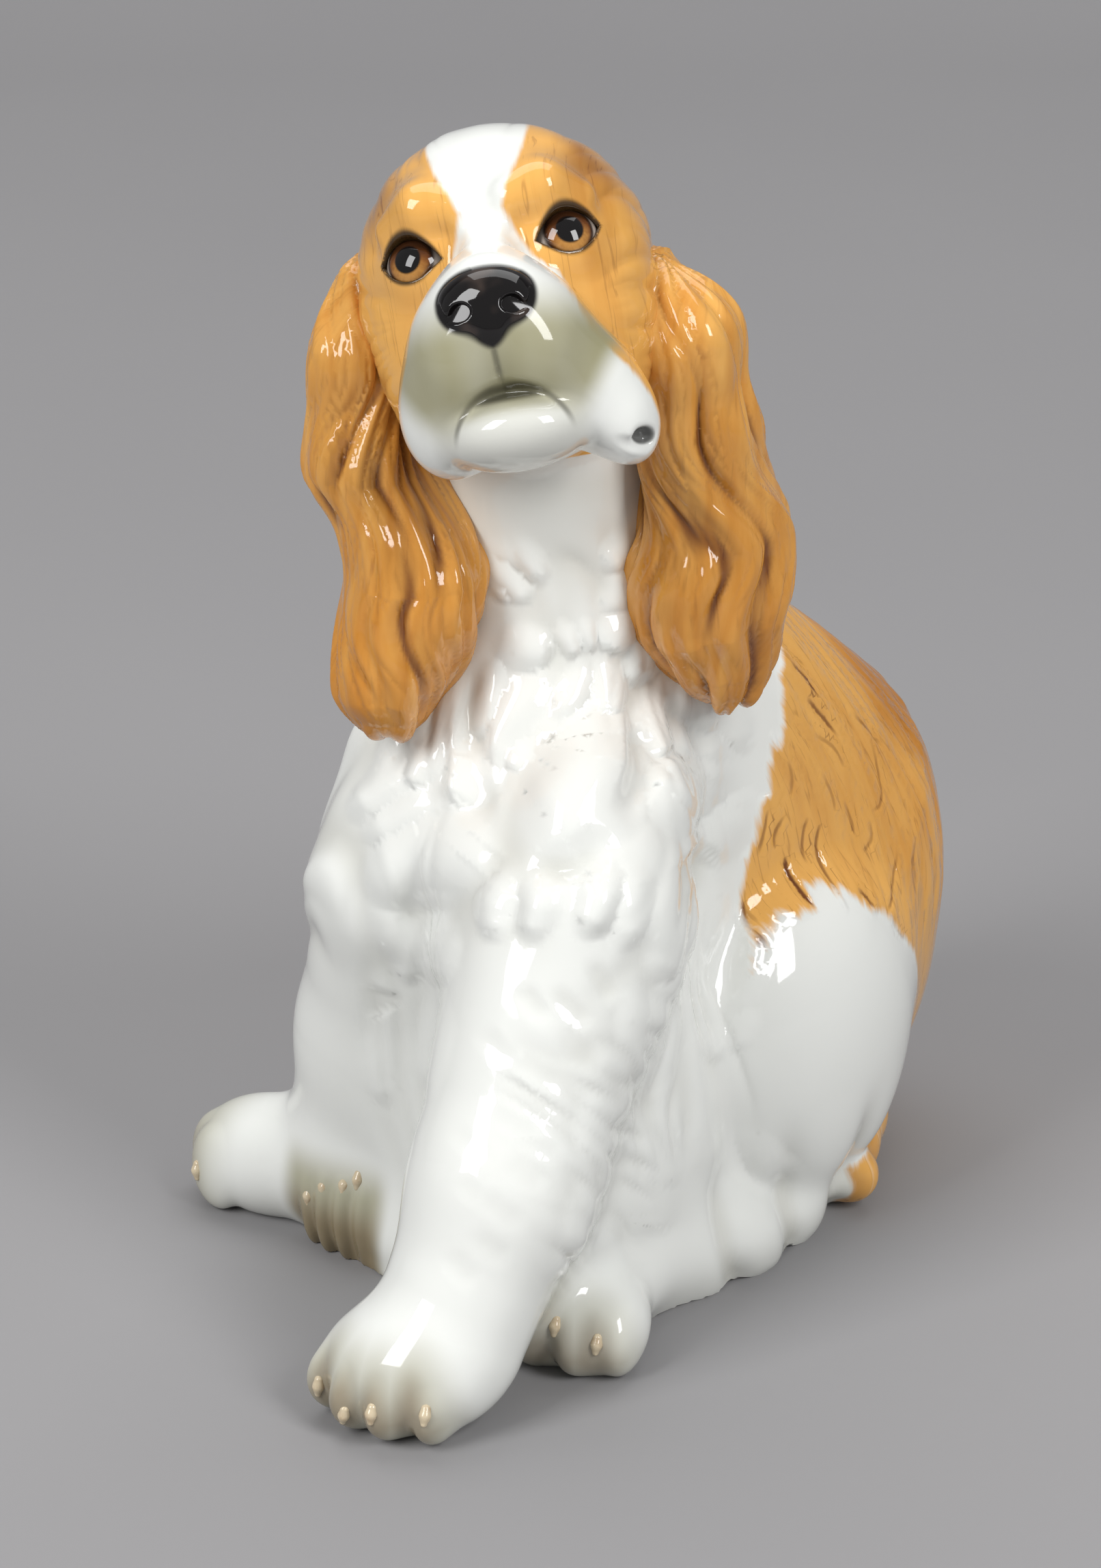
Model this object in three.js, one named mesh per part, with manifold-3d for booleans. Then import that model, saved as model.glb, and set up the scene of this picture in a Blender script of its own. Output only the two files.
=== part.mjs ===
// A glazed porcelain spaniel puppy that sits and looks up, about 285 mm tall.
// Each mesh is one slip casting, as it leaves its plaster mould and before it is luted to its neighbours.
// Millimetres, +Z up. The puppy faces -Y and its left side is +X.
// Places are measured from a point on the table midway between the haunches.
// The finished puppy is then moved, so that its origin lies on the table under the chest.

import * as THREE from "three";
import { mergeVertices } from "three/addons/utils/BufferGeometryUtils.js";
import Module from "manifold-3d";

const ORIGIN_AT = [18, -24];

// Castings
const WALL = 5;
const LUTE_GAP = 0.3;
const EAR_BED = 0.6;
const VENT_RADIUS = 6;
const VENT_AT = [0, 58];

// Head
const HEAD_AT = [10, -25, 250];
const HEAD_YAW = 27.5;
const HEAD_PITCH = 28;
const HEAD_TILT = 13;
const SKULL_RADIUS = 31;
const EYE_OUT = 17;
const LIP_OUT = 9;
const NOSE_HALF_WIDTH = 10.5;

// Limbs, ears and tail
const LEFT_PAW_RADIUS = 22;
const RIGHT_PAW_RADIUS = 18;
const LEFT_FOOT_RADIUS = 16;
const RIGHT_FOOT_RADIUS = 13;
const LOCK_OFFSET = [3, -6];
const TAIL_RADIUS = 11;

// Heights of the seams
const NECK_SEAM = 200;
const LEFT_ELBOW_SEAM = 88;
const RIGHT_ELBOW_SEAM = 84;
const LEFT_FOOT_SEAM = 32;
const RIGHT_FOOT_SEAM = 29;
const TAIL_SEAM = 29;

// Grid steps of the castings' surfaces
const TORSO_STEP = 8.5;
const HEAD_STEP = 4.2;
const EAR_STEP = 4.2;
const LEG_STEP = 5;
const FOOT_STEP = 4.4;
const TAIL_STEP = 4.6;
const HOLLOW_STEP = 12;

// How far forms melt into each other
const BODY_BLEND = 22;
const HAUNCH_BLEND = 11;
const LIMB_BLEND = 18;
const NECK_BLEND = 10;
const FACE_BLEND = 12;
const NOSE_BLEND = 3;
const EAR_BLEND = 12;
const LOCK_BLEND = 3;
const PAW_BLEND = 9;
const TAIL_BLEND = 4;
const SEAT_BLEND = 2;

// Glaze colours
const WHITE_GLAZE = 0xf1f0ea;
const TAN_GLAZE = 0xc98238;
const GLAZE_ROUGHNESS = 0.08;

// An egg: an ellipsoid with its centre, its three radii and its turn in degrees about X, Y and Z.
function egg(centre, radii, turn = [0, 0, 0]) {
  const [cx, cy, cz] = centre;
  const [rx, ry, rz] = radii;
  const spin = new THREE.Euler(...turn.map(THREE.MathUtils.degToRad));
  const back = new THREE.Matrix3()
    .setFromMatrix4(new THREE.Matrix4().makeRotationFromEuler(spin))
    .transpose();
  const m = back.elements;
  return (x, y, z) => {
    const dx = x - cx;
    const dy = y - cy;
    const dz = z - cz;
    const px = (m[0] * dx + m[3] * dy + m[6] * dz) / rx;
    const py = (m[1] * dx + m[4] * dy + m[7] * dz) / ry;
    const pz = (m[2] * dx + m[5] * dy + m[8] * dz) / rz;
    const near = Math.sqrt(px * px + py * py + pz * pz);
    const steep = Math.sqrt((px / rx) ** 2 + (py / ry) ** 2 + (pz / rz) ** 2);
    return near < 1e-9 ? -Math.min(rx, ry, rz) : (near * (near - 1)) / steep;
  };
}

// A limb: a round bar that tapers from one radius to another.
function limb(from, to, startRadius, endRadius = startRadius) {
  const [ax, ay, az] = from;
  const [bx, by, bz] = [to[0] - ax, to[1] - ay, to[2] - az];
  const long = bx * bx + by * by + bz * bz;
  return (x, y, z) => {
    const [dx, dy, dz] = [x - ax, y - ay, z - az];
    const t = Math.min(1, Math.max(0, (dx * bx + dy * by + dz * bz) / long));
    const away = Math.hypot(dx - t * bx, dy - t * by, dz - t * bz);
    return away - (startRadius + t * (endRadius - startRadius));
  };
}

// Two distances joined with a fillet of the given size.
function meet(a, b, blend) {
  const h = Math.max(blend - Math.abs(a - b), 0) / blend;
  return Math.min(a, b) - (h * h * blend) / 4;
}

// Forms that melt into one.
function melt(blend, forms) {
  return (x, y, z) => forms.reduce((d, form) => meet(d, form(x, y, z), blend), 1e3);
}

// A form with others pressed out of it.
function press(blend, form, dents) {
  return (x, y, z) => dents.reduce((d, dent) => -meet(-d, dent(x, y, z), blend), form(x, y, z));
}

// A form described in a frame of its own, such as the head's.
function placed(form, frame) {
  const m = frame.clone().invert().elements;
  return (x, y, z) =>
    form(
      m[0] * x + m[4] * y + m[8] * z + m[12],
      m[1] * x + m[5] * y + m[9] * z + m[13],
      m[2] * x + m[6] * y + m[10] * z + m[14],
    );
}

// Torso
const core = melt(BODY_BLEND, [
  egg([4, 73, 54], [54, 56, 56]), // rump
  limb([4, 72, 88], [5, 6, 170], 54, 27), // back
  egg([2, 26, 74], [42, 54, 62]), // belly
  egg([4, -9, 116], [35, 39, 50]), // chest
  egg([2, -26, 50], [34, 16, 62]), // fur between the forelegs
  limb([4, 2, 150], [8, -10, 215], 32, 26), // neck
  egg([34, -26, 112], [18, 22, 34]), // left shoulder
  egg([-15, -24, 112], [16, 19, 34]), // right shoulder
  egg([42, -2, 44], [17, 26, 36]), // left knee
  egg([-34, 2, 40], [15, 24, 32]), // right knee
  egg([37, 18, 8], [30, 50, 18]), // left hem of fur
  egg([-32, 18, 6], [22, 50, 18]), // right hem of fur
  egg([2, 20, 4], [42, 62, 14]), // fur under the belly
]);
const torso = melt(HAUNCH_BLEND, [
  core,
  egg([46, 45, 52], [25, 40, 45]), // left haunch
  egg([-38, 44, 48], [24, 38, 42]), // right haunch
  egg([-13, -36, 110], [17, 15, 22]), // ruff over the right foreleg
]);

// Head, in a frame of its own: -Y is forward and +Z is the crown
const headTurn = [-HEAD_PITCH, -HEAD_TILT, HEAD_YAW].map(THREE.MathUtils.degToRad);
const headFrame = new THREE.Matrix4()
  .makeRotationFromEuler(new THREE.Euler(...headTurn, "ZXY"))
  .setPosition(...HEAD_AT);

const both = (make) => [make(1), make(-1)];
const skull = melt(FACE_BLEND, [
  egg([0, 5, 4], [SKULL_RADIUS, 32, 31]), // cranium
  egg([0, -11, 10], [23, 19, 19]), // forehead
  egg([0, -34, -19], [15, 24, 13]), // muzzle
  limb([0, -20, 0], [0, -48, -16], 11, 9), // bridge of the nose
  egg([0, -14, -30], [22, 26, 14]), // jaw
  egg([0, -38, -39], [13, 12, 8]), // chin
  ...both((side) => egg([side * LIP_OUT, -38, -26], [12, 18, 14])), // lips
  ...both((side) => egg([side * 17, -31, -36], [9, 13, 11])), // corners of the mouth
  ...both((side) => egg([side * 19, -5, -11], [12, 18, 24])), // cheeks
  ...both((side) => egg([side * 15, -20, 14], [10, 8, 7])), // brows
  ...both((side) => egg([side * EYE_OUT, -20, 2], [8, 8, 7])), // eyes
]);
const nose = egg([0, -54.5, -17], [NOSE_HALF_WIDTH, 6, 8.5]);
const head = placed(melt(NOSE_BLEND, [skull, nose]), headFrame);

// Ears: each has two locks that hang side by side. A line gives a lock's middle and its radius.
function drapery(line) {
  const lock = (side) => {
    const middle = line.map(([x, y, z]) => [x + side * LOCK_OFFSET[0], y + side * LOCK_OFFSET[1], z]);
    return melt(LOCK_BLEND, middle.slice(1).map((at, i) => limb(middle[i], at, line[i][3], line[i + 1][3])));
  };
  return melt(EAR_BLEND, [lock(1), lock(-1)]);
}
const leftEar = drapery([
  [37, -4, 252, 6],
  [45, -2, 238, 9],
  [45, 2, 212, 10],
  [47, 5, 192, 12],
  [49, 7, 172, 14],
  [49, 9, 158, 11],
]);
const rightEar = drapery([
  [-20, -36, 249, 5],
  [-20, -40, 234, 8],
  [-16, -43, 208, 10],
  [-6, -43, 184, 11],
  [-4, -42, 166, 12],
  [-8, -44, 152, 8],
]);

// Forelegs
const leftForeleg = melt(PAW_BLEND, [
  limb([36, -36, 106], [38, -66, 52], 26, 21),
  limb([38, -66, 52], [36, -86, 20], 20, 18),
  egg([31, -98, 12], [LEFT_PAW_RADIUS, 20, 15]), // paw
  egg([38, -44, 40], [13, 30, 44]), // fur behind the leg
]);
const rightForeleg = melt(PAW_BLEND, [
  limb([-19, -32, 100], [-32, -20, 56], 17, 18),
  limb([-32, -20, 56], [-42, -18, 20], 18, 16),
  limb([-42, -18, 18], [-60, -26, 14], 15, 13),
  egg([-68, -29, 12], [RIGHT_PAW_RADIUS, 16, 15], [0, 0, -10]), // paw
]);

// Hind feet
const leftHindFoot = limb([50, -4, 13], [50, -42, 12], 15, LEFT_FOOT_RADIUS);
const rightHindFoot = limb([-28, -4, 13], [-32, -31, 12], 13, RIGHT_FOOT_RADIUS);

// Tail, curled round the left of the rump
const tail = melt(TAIL_BLEND, [
  limb([0, 114, 15], [26, 104, 14], TAIL_RADIUS, 11),
  limb([26, 104, 14], [43, 84, 12], 11, 10),
  limb([43, 84, 12], [60, 57, 8], 10, 7),
]);

// Everything that shares one wall: the whole puppy without its ears
const legs = [leftForeleg, rightForeleg, leftHindFoot, rightHindFoot];
const trunk = melt(LIMB_BLEND, [torso, ...legs]);
const figure = melt(TAIL_BLEND, [melt(NECK_BLEND, [trunk, head]), tail]);

// A box of grid points around a form, each with its distance to the form's surface.
function sample(form, low, high, step, level) {
  const count = low.map((v, i) => Math.ceil((high[i] - v) / step) + 1);
  const strides = [1, count[0], count[0] * count[1]];
  const value = new Float32Array(count[0] * count[1] * count[2]);
  const each = (from, to, visit) => {
    for (let k = from; k < count[2] - to; k++)
      for (let j = from; j < count[1] - to; j++)
        for (let i = from; i < count[0] - to; i++) visit([i, j, k], i + strides[1] * j + strides[2] * k);
  };
  each(0, 0, (cell, n) => {
    const rim = cell.some((c, i) => c === 0 || c === count[i] - 1);
    const d = form(...cell.map((c, i) => low[i] + c * step)) - level;
    value[n] = rim ? Math.max(d, step / 4) : d;
  });
  return { value, strides, each };
}

// Where two inside points face each other across a grid square, a third is let in,
// so that no edge is shared twice.
function settle({ value, strides, each }, step) {
  let changed = true;
  while (changed) {
    changed = false;
    each(0, 1, (cell, n) => {
      for (const [u, v] of [[0, 1], [1, 2], [2, 0]]) {
        const square = [n, n + strides[u], n + strides[u] + strides[v], n + strides[v]];
        const [a, b, c, d] = square.map((corner) => value[corner] < 0);
        if (a !== c || b !== d || a === b) continue;
        const [first, second] = a ? [square[1], square[3]] : [square[0], square[2]];
        value[value[first] < value[second] ? first : second] = -step / 100;
        changed = true;
      }
    });
  }
}

// The closed surface where a form's distance is the given level, inside the box from low to high.
// Each grid cell that the surface crosses gets one vertex, which is then slid onto the surface.
function skin(form, low, high, step, level = 0) {
  const grid = sample(form, low, high, step, level);
  settle(grid, step);
  const { value, strides, each } = grid;
  const origin = new THREE.Vector3(...low);
  const spots = [];
  const spotOf = new Map();
  each(0, 1, (cell, n) => {
    const middle = new THREE.Vector3();
    let crossings = 0;
    for (let axis = 0; axis < 3; axis++)
      for (let corner = 0; corner < 4; corner++) {
        const at = [0, 0, 0];
        at[(axis + 1) % 3] = corner & 1;
        at[(axis + 2) % 3] = corner >> 1;
        const start = n + at[0] + strides[1] * at[1] + strides[2] * at[2];
        const [va, vb] = [value[start], value[start + strides[axis]]];
        if (va < 0 === vb < 0) continue;
        at[axis] = va / (va - vb);
        middle.add(new THREE.Vector3(...at));
        crossings++;
      }
    if (!crossings) return;
    spotOf.set(n, spots.length);
    middle.divideScalar(crossings).add(new THREE.Vector3(...cell));
    spots.push(middle.multiplyScalar(step).add(origin));
  });
  for (const spot of spots) for (let turn = 0; turn < 3; turn++) slide(spot, form, level, step);
  const faces = [];
  each(0, 1, (cell, n) => {
    for (let axis = 0; axis < 3; axis++) {
      const within = value[n] < 0;
      if (within === value[n + strides[axis]] < 0) continue;
      const [u, v] = [strides[(axis + 1) % 3], strides[(axis + 2) % 3]];
      const ring = [n, n - u, n - u - v, n - v].map((c) => spotOf.get(c));
      if (!within) ring.reverse();
      const [p, q, r, s] = ring;
      const short = spots[p].distanceTo(spots[r]) < spots[q].distanceTo(spots[s]);
      faces.push(...(short ? [p, q, r, p, r, s] : [q, r, s, q, s, p]));
    }
  });
  return { vertices: new Float32Array(spots.flatMap((s) => s.toArray())), faces: new Uint32Array(faces) };
}

// Moves a point down the slope of a form's distance, onto its surface.
function slide(spot, form, level, step) {
  const nudge = step / 20;
  const { x, y, z } = spot;
  const d = form(x, y, z) - level;
  const slope = new THREE.Vector3(
    form(x + nudge, y, z) - level - d,
    form(x, y + nudge, z) - level - d,
    form(x, y, z + nudge) - level - d,
  ).divideScalar(nudge);
  const push = d / Math.max(slope.lengthSq(), 0.2);
  spot.addScaledVector(slope, -THREE.MathUtils.clamp(push, -step / 3, step / 3));
}

const wasm = await Module();
wasm.setup();

// A skin as a solid that can be joined and cut.
function solid(made) {
  const mesh = new wasm.Mesh({ numProp: 3, vertProperties: made.vertices, triVerts: made.faces });
  return new wasm.Manifold(mesh);
}

const UP = [0, 0, 1];
const floor = (part) => part.trimByPlane(UP, 0);

// A three.js shape as a solid, its corners shared.
function block(geometry) {
  geometry.deleteAttribute("normal");
  geometry.deleteAttribute("uv");
  const whole = mergeVertices(geometry);
  return solid({ vertices: whole.attributes.position.array, faces: new Uint32Array(whole.index.array) });
}

// A seam: a plane through a point, with its normal towards the piece it ends.
const seam = (at, normal) => ({
  at: new THREE.Vector3(...at),
  normal: new THREE.Vector3(...normal).normalize(),
});

const SEAMS = {
  head: [seam([6, -8, NECK_SEAM], [0.05, -0.2, 1])],
  left_hind_foot: [
    seam([50, -18, 12], [0, -1, 0]),
    seam([30, -40, 20], [1, 0, 0]),
    seam([40, -40, LEFT_FOOT_SEAM], [0, -0.2, -1]),
    seam([45, -62, 10], [0, 1, 0]),
  ],
  right_hind_foot: [
    seam([-34, -19, 12], [0, -1, 0]),
    seam([-34, -20, RIGHT_FOOT_SEAM], [0, -0.1, -1]),
    seam([-47, -20, 0], [1, 0, 0]),
    seam([-13, -20, 0], [-1, 0, 0]),
  ],
  left_foreleg: [
    seam([36, -46, LEFT_ELBOW_SEAM], [0, -0.55, -0.84]),
    seam([12, -60, 50], [1, 0, 0]),
    seam([45, -46, 10], [0, -1, 0.25]),
  ],
  right_foreleg: [
    seam([-30, -30, RIGHT_ELBOW_SEAM], [-0.3, -0.1, -0.95]),
    seam([-16, -30, 50], [-1, 0, 0.1]),
    seam([-40, 2, 40], [0, -1, 0]),
  ],
  tail: [seam([0, 104, 14], [0.7, 0.72, 0]), seam([30, 90, TAIL_SEAM], [0, 0, -1])],
};

// The space inside a casting's seams, moved outwards by a gap.
const REACH = 600;
function inside(name, gap = 0) {
  const all = block(new THREE.BoxGeometry(REACH, REACH, REACH));
  return SEAMS[name].reduce((left, s) => left.trimByPlane(s.normal.toArray(), s.at.dot(s.normal) - gap), all);
}

const whole = [[-100, -130, -20], [95, 140, 310]];
const hollow = solid(skin(figure, ...whole, HOLLOW_STEP, -WALL)).trimByPlane(UP, WALL);
const vent = block(
  new THREE.CylinderGeometry(VENT_RADIUS, VENT_RADIUS, 4 * WALL)
    .rotateX(Math.PI / 2)
    .translate(...VENT_AT, 0),
);

// The torso is everything that the other castings leave.
const shell = floor(solid(skin(figure, [-100, -130, -20], [95, 140, 260], TORSO_STEP)));
const body = Object.keys(SEAMS).reduce((left, name) => left.subtract(inside(name, LUTE_GAP)), shell);

// A casting that ends at its seams.
const cast = (name, low, high, step) => floor(solid(skin(figure, low, high, step)).intersect(inside(name)));

// A solid casting that lies against the wall, on a thin bed of slip.
const clear = (x, y, z) => figure(x, y, z) - EAR_BED;
const drape = (form, low, high, step) =>
  floor(solid(skin(press(SEAT_BLEND, form, [clear]), low, high, step)));

const leftLeg = cast("left_foreleg", [0, -150, -20], [90, 10, 150], LEG_STEP);
const rightLeg = cast("right_foreleg", [-110, -80, -20], [0, 20, 150], LEG_STEP);

const pieces = {
  torso: [body.subtract(hollow).subtract(vent), WHITE_GLAZE],
  head: [cast("head", [-50, -110, 180], [80, 40, 315], HEAD_STEP).subtract(hollow), WHITE_GLAZE],
  left_ear: [drape(leftEar, [20, -60, 120], [110, 40, 290], EAR_STEP), TAN_GLAZE],
  right_ear: [drape(rightEar, [-80, -80, 110], [30, 0, 280], EAR_STEP), TAN_GLAZE],
  left_foreleg: [leftLeg.subtract(hollow).subtract(inside("left_hind_foot", LUTE_GAP)), WHITE_GLAZE],
  right_foreleg: [rightLeg.subtract(hollow).subtract(inside("right_hind_foot", LUTE_GAP)), WHITE_GLAZE],
  left_hind_foot: [cast("left_hind_foot", [10, -90, -20], [90, 40, 60], FOOT_STEP), WHITE_GLAZE],
  right_hind_foot: [cast("right_hind_foot", [-70, -60, -20], [0, 40, 60], FOOT_STEP), WHITE_GLAZE],
  tail: [cast("tail", [-40, 20, -20], [90, 150, 60], TAIL_STEP), TAN_GLAZE],
};

// Each casting is the largest body that its cuts leave.
const figurine = new THREE.Group();
for (const [name, [shape, colour]] of Object.entries(pieces)) {
  const bodies = shape.decompose().sort((a, b) => b.volume() - a.volume());
  const made = bodies[0].translate([-ORIGIN_AT[0], -ORIGIN_AT[1], 0]).getMesh();
  const geometry = new THREE.BufferGeometry();
  geometry.setAttribute("position", new THREE.BufferAttribute(made.vertProperties, 3));
  geometry.setIndex(new THREE.BufferAttribute(made.triVerts, 1));
  geometry.computeVertexNormals();
  const glaze = new THREE.MeshStandardMaterial({ color: colour, roughness: GLAZE_ROUGHNESS, metalness: 0 });
  const mesh = new THREE.Mesh(geometry, glaze);
  mesh.name = name;
  figurine.add(mesh);
}

export default figurine;
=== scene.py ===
from math import cos, pi, radians, sin, sqrt

import bpy
import numpy as np
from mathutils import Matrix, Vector


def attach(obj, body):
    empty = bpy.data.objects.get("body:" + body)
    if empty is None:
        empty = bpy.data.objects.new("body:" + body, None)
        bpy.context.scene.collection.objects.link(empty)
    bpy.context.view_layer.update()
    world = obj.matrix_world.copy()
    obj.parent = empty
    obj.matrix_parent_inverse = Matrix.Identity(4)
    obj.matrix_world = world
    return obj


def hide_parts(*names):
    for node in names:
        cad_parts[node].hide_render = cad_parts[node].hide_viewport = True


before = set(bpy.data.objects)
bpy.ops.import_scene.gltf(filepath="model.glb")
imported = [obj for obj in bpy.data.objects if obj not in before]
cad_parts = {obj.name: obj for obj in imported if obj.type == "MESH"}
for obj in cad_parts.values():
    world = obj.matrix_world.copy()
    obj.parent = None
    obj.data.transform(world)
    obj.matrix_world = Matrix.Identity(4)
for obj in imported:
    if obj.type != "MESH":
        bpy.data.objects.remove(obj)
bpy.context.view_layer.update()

bl_info = {
    "name": "Porcelain Spaniel Puppy",
    "version": (1, 0, 0),
    "blender": (4, 5, 0),
    "location": "View3D > Sidebar > Puppy",
    "description": "Builds a glazed porcelain figurine of a sitting spaniel puppy",
    "category": "Add Mesh",
}

MM = 0.001

# The forms are placed in millimetres on their own axes, on which the frame's origin lies here
ORIGIN_AT = np.array([18.0, -24.0, 0.0])

# The photograph's view, round and up, and its focal length and height in pixels
FACING = radians(35), radians(22)
FOCAL_PIXELS, PHOTO_HEIGHT = 7404, 2296


# Settings


def measure(name, text, value):
    """A size, as a property."""
    return bpy.props.FloatProperty(name=name, description=text, default=value)


def tint(name, text, *colour):
    """A colour, as a property."""
    return bpy.props.FloatVectorProperty(name=name, description=text, subtype="COLOR", default=colour)


class PuppySizes(bpy.types.PropertyGroup):
    """Sizes of the modelled detail, in millimetres"""

    body_step: measure("Body Step", "Grid step of the body's surface", 1.3)
    ear_step: measure("Ear Step", "Grid step of the ears' surface", 0.85)
    fine_step: measure("Fine Step", "Grid step of the nose", 0.4)
    tuft_depth: measure("Tuft Depth", "How far a chest lock stands out", 1.8)
    lock_depth: measure("Lock Depth", "How far an ear lock stands out", 3.0)
    eye_radius: measure("Eye Radius", "Radius of an eyeball", 7.6)
    iris_radius: measure("Iris Radius", "Radius of an iris", 5.3)
    pupil_radius: measure("Pupil Radius", "Radius of a pupil", 3.0)


class PuppyGlazes(bpy.types.PropertyGroup):
    """Colours of the glazes"""

    white: tint("White", "Bare white glaze", 0.79, 0.80, 0.765)
    # Painted shade: a warm grey laid into the relief's hollows, round the lower lip, under the chin and low
    # by the floor
    shade: tint("Shade", "Warm grey shaded into hollows", 0.50, 0.49, 0.42)
    golden: tint("Golden", "Thin tan paint", 0.76, 0.40, 0.10)
    tan: tint("Tan", "Full tan paint", 0.55, 0.22, 0.03)
    stroke: tint("Stroke", "Dark brush strokes", 0.17, 0.055, 0.014)
    muzzle: tint("Muzzle", "Olive grey of the muzzle", 0.30, 0.28, 0.155)
    umber: tint("Umber", "Brown shading round the claws", 0.20, 0.135, 0.065)
    # Black also paints the upper lids' shadow across the tops of the eyeballs
    black: tint("Black", "Nose, pupils and eye rims", 0.005, 0.004, 0.004)
    amber: tint("Amber", "Irises", 0.17, 0.05, 0.008)
    claw: tint("Claw", "Claws", 0.62, 0.52, 0.36)


# Forms, as distances from points to surfaces, in millimetres


def egg(p, centre, radii, turn=0.0):
    """Distance to an ellipsoid that is turned about the vertical."""
    d = p - np.array(centre, p.dtype)
    if turn:
        c, s = cos(radians(turn)), sin(radians(turn))
        d = np.stack([c * d[:, 0] + s * d[:, 1], c * d[:, 1] - s * d[:, 0], d[:, 2]], 1)
    r = np.array(radii, p.dtype)
    d /= r
    near = np.sqrt((d * d).sum(1))
    d /= r
    return near * (near - 1) / np.maximum(np.sqrt((d * d).sum(1)), 1e-6)


def limb(p, start, end, start_radius, end_radius):
    """Distance to a round bar that tapers from one radius to another."""
    a, b = np.array(start, p.dtype), np.array(end, p.dtype)
    d, run = p - a, b - a
    t = np.clip(d @ run / (run @ run), 0, 1)
    away = d - t[:, None] * run
    return np.sqrt((away * away).sum(1)) - (start_radius + t * (end_radius - start_radius))


def meet(a, b, blend):
    """Two distances joined with a fillet."""
    h = np.maximum(blend - np.abs(a - b), 0) / blend
    return np.minimum(a, b) - h * h * blend / 4


def melt(blend, *distances):
    """Several distances joined with fillets."""
    total = distances[0]
    for one in distances[1:]:
        total = meet(total, one, blend)
    return total


def press(blend, distance, *dents):
    """A form with others pressed out of it."""
    for dent in dents:
        distance = -meet(-distance, dent, blend)
    return distance


def strand(p, blend, *stops):
    """A bent bar: each stop is x, y, z and a radius."""
    return melt(blend, *[limb(p, a[:3], b[:3], a[3], b[3]) for a, b in zip(stops, stops[1:])])


def forms(p, *rows):
    """Distances to eggs, each a centre, radii and maybe a turn, and to limbs, each two ends and two radii."""
    return [(limb if len(row) == 8 else egg)(p, row[:3], row[3:6], *row[6:]) for row in rows]


def ramp(value, low, high):
    """0 below low, 1 above high and a smooth rise between; high may be the smaller."""
    t = np.clip((value - low) / (high - low), 0, 1)
    return t * t * (3 - 2 * t)


def along(value, *pairs):
    """A value looked up in pairs of place and height."""
    return np.interp(value, [p[0] for p in pairs], [p[1] for p in pairs])


def unit(ways):
    """Directions, one in each row, made one long."""
    return ways / np.linalg.norm(ways, axis=1)[:, None]


# The head's own frame: -Y is forward and +Z is the crown

HEAD_AT = np.array([10.0, -25.0, 250.0])


def head_turn():
    """The head's rotation: tilt, then pitch, then yaw."""
    whole = np.eye(3)
    for degrees, i, j in ((27.5, 0, 1), (-28, 1, 2), (-13, 2, 0)):
        c, s = cos(radians(degrees)), sin(radians(degrees))
        turn = np.eye(3)
        turn[i, i], turn[i, j], turn[j, i], turn[j, j] = c, -s, s, c
        whole = whole @ turn
    return whole


HEAD_TURN = head_turn()


def to_head(p):
    """Points in the head's own frame."""
    return (p - HEAD_AT.astype(p.dtype)) @ HEAD_TURN.astype(p.dtype)


def from_head(q):
    """Points of the head's own frame in the figurine's."""
    return q @ HEAD_TURN.T + HEAD_AT


def mirror(q):
    """Points of the head moved to its left half."""
    return np.stack([np.abs(q[:, 0]), q[:, 1], q[:, 2]], 1)


# Eyes

EYE_AT = np.array([15.6, -21.6, 1.4])
EYE_AHEAD = np.array([0.30, -0.945, 0.13]) / np.linalg.norm([0.30, -0.945, 0.13])
EYE_DROOP = radians(9)
EYE_SET_OUT = 0.9

# The almond between the lids: half its width, and how high and how low it reaches
ALMOND_HALF, ALMOND_TOP, ALMOND_BOTTOM = 7.4, 4.8, 4.6


def eye_axes():
    """An eye's outward and upward directions, for the left eye."""
    across = np.cross([0, 0, 1], -EYE_AHEAD)
    across /= np.linalg.norm(across)
    above = np.cross(across, EYE_AHEAD)
    above *= np.sign(above[2])
    return (across * cos(EYE_DROOP) - above * sin(EYE_DROOP),
            above * cos(EYE_DROOP) + across * sin(EYE_DROOP))


EYE_ACROSS, EYE_ABOVE = eye_axes()


def eye_opening(q):
    """How far points lie outside the nearer almond, above its middle and from its eye's centre."""
    left = mirror(q) - EYE_AT
    across, above, ahead = left @ EYE_ACROSS, left @ EYE_ABOVE, left @ EYE_AHEAD
    arch = 1 - np.abs(across / ALMOND_HALF) ** 2.1
    rim = np.maximum(above - ALMOND_TOP * arch, -ALMOND_BOTTOM * arch - above) * 0.82
    return np.where(ahead > 0, rim, 20), above, np.sqrt((left * left).sum(1))


# Forms of the figure

LEFT_PIT, PIT_RADII = [27, -36, -46.5], [2.6, 4, 1.5]
MOUTH_AT, MOUTH_RADII = [0.6, -50, -46.5], [13.2, 15, 13]


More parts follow.
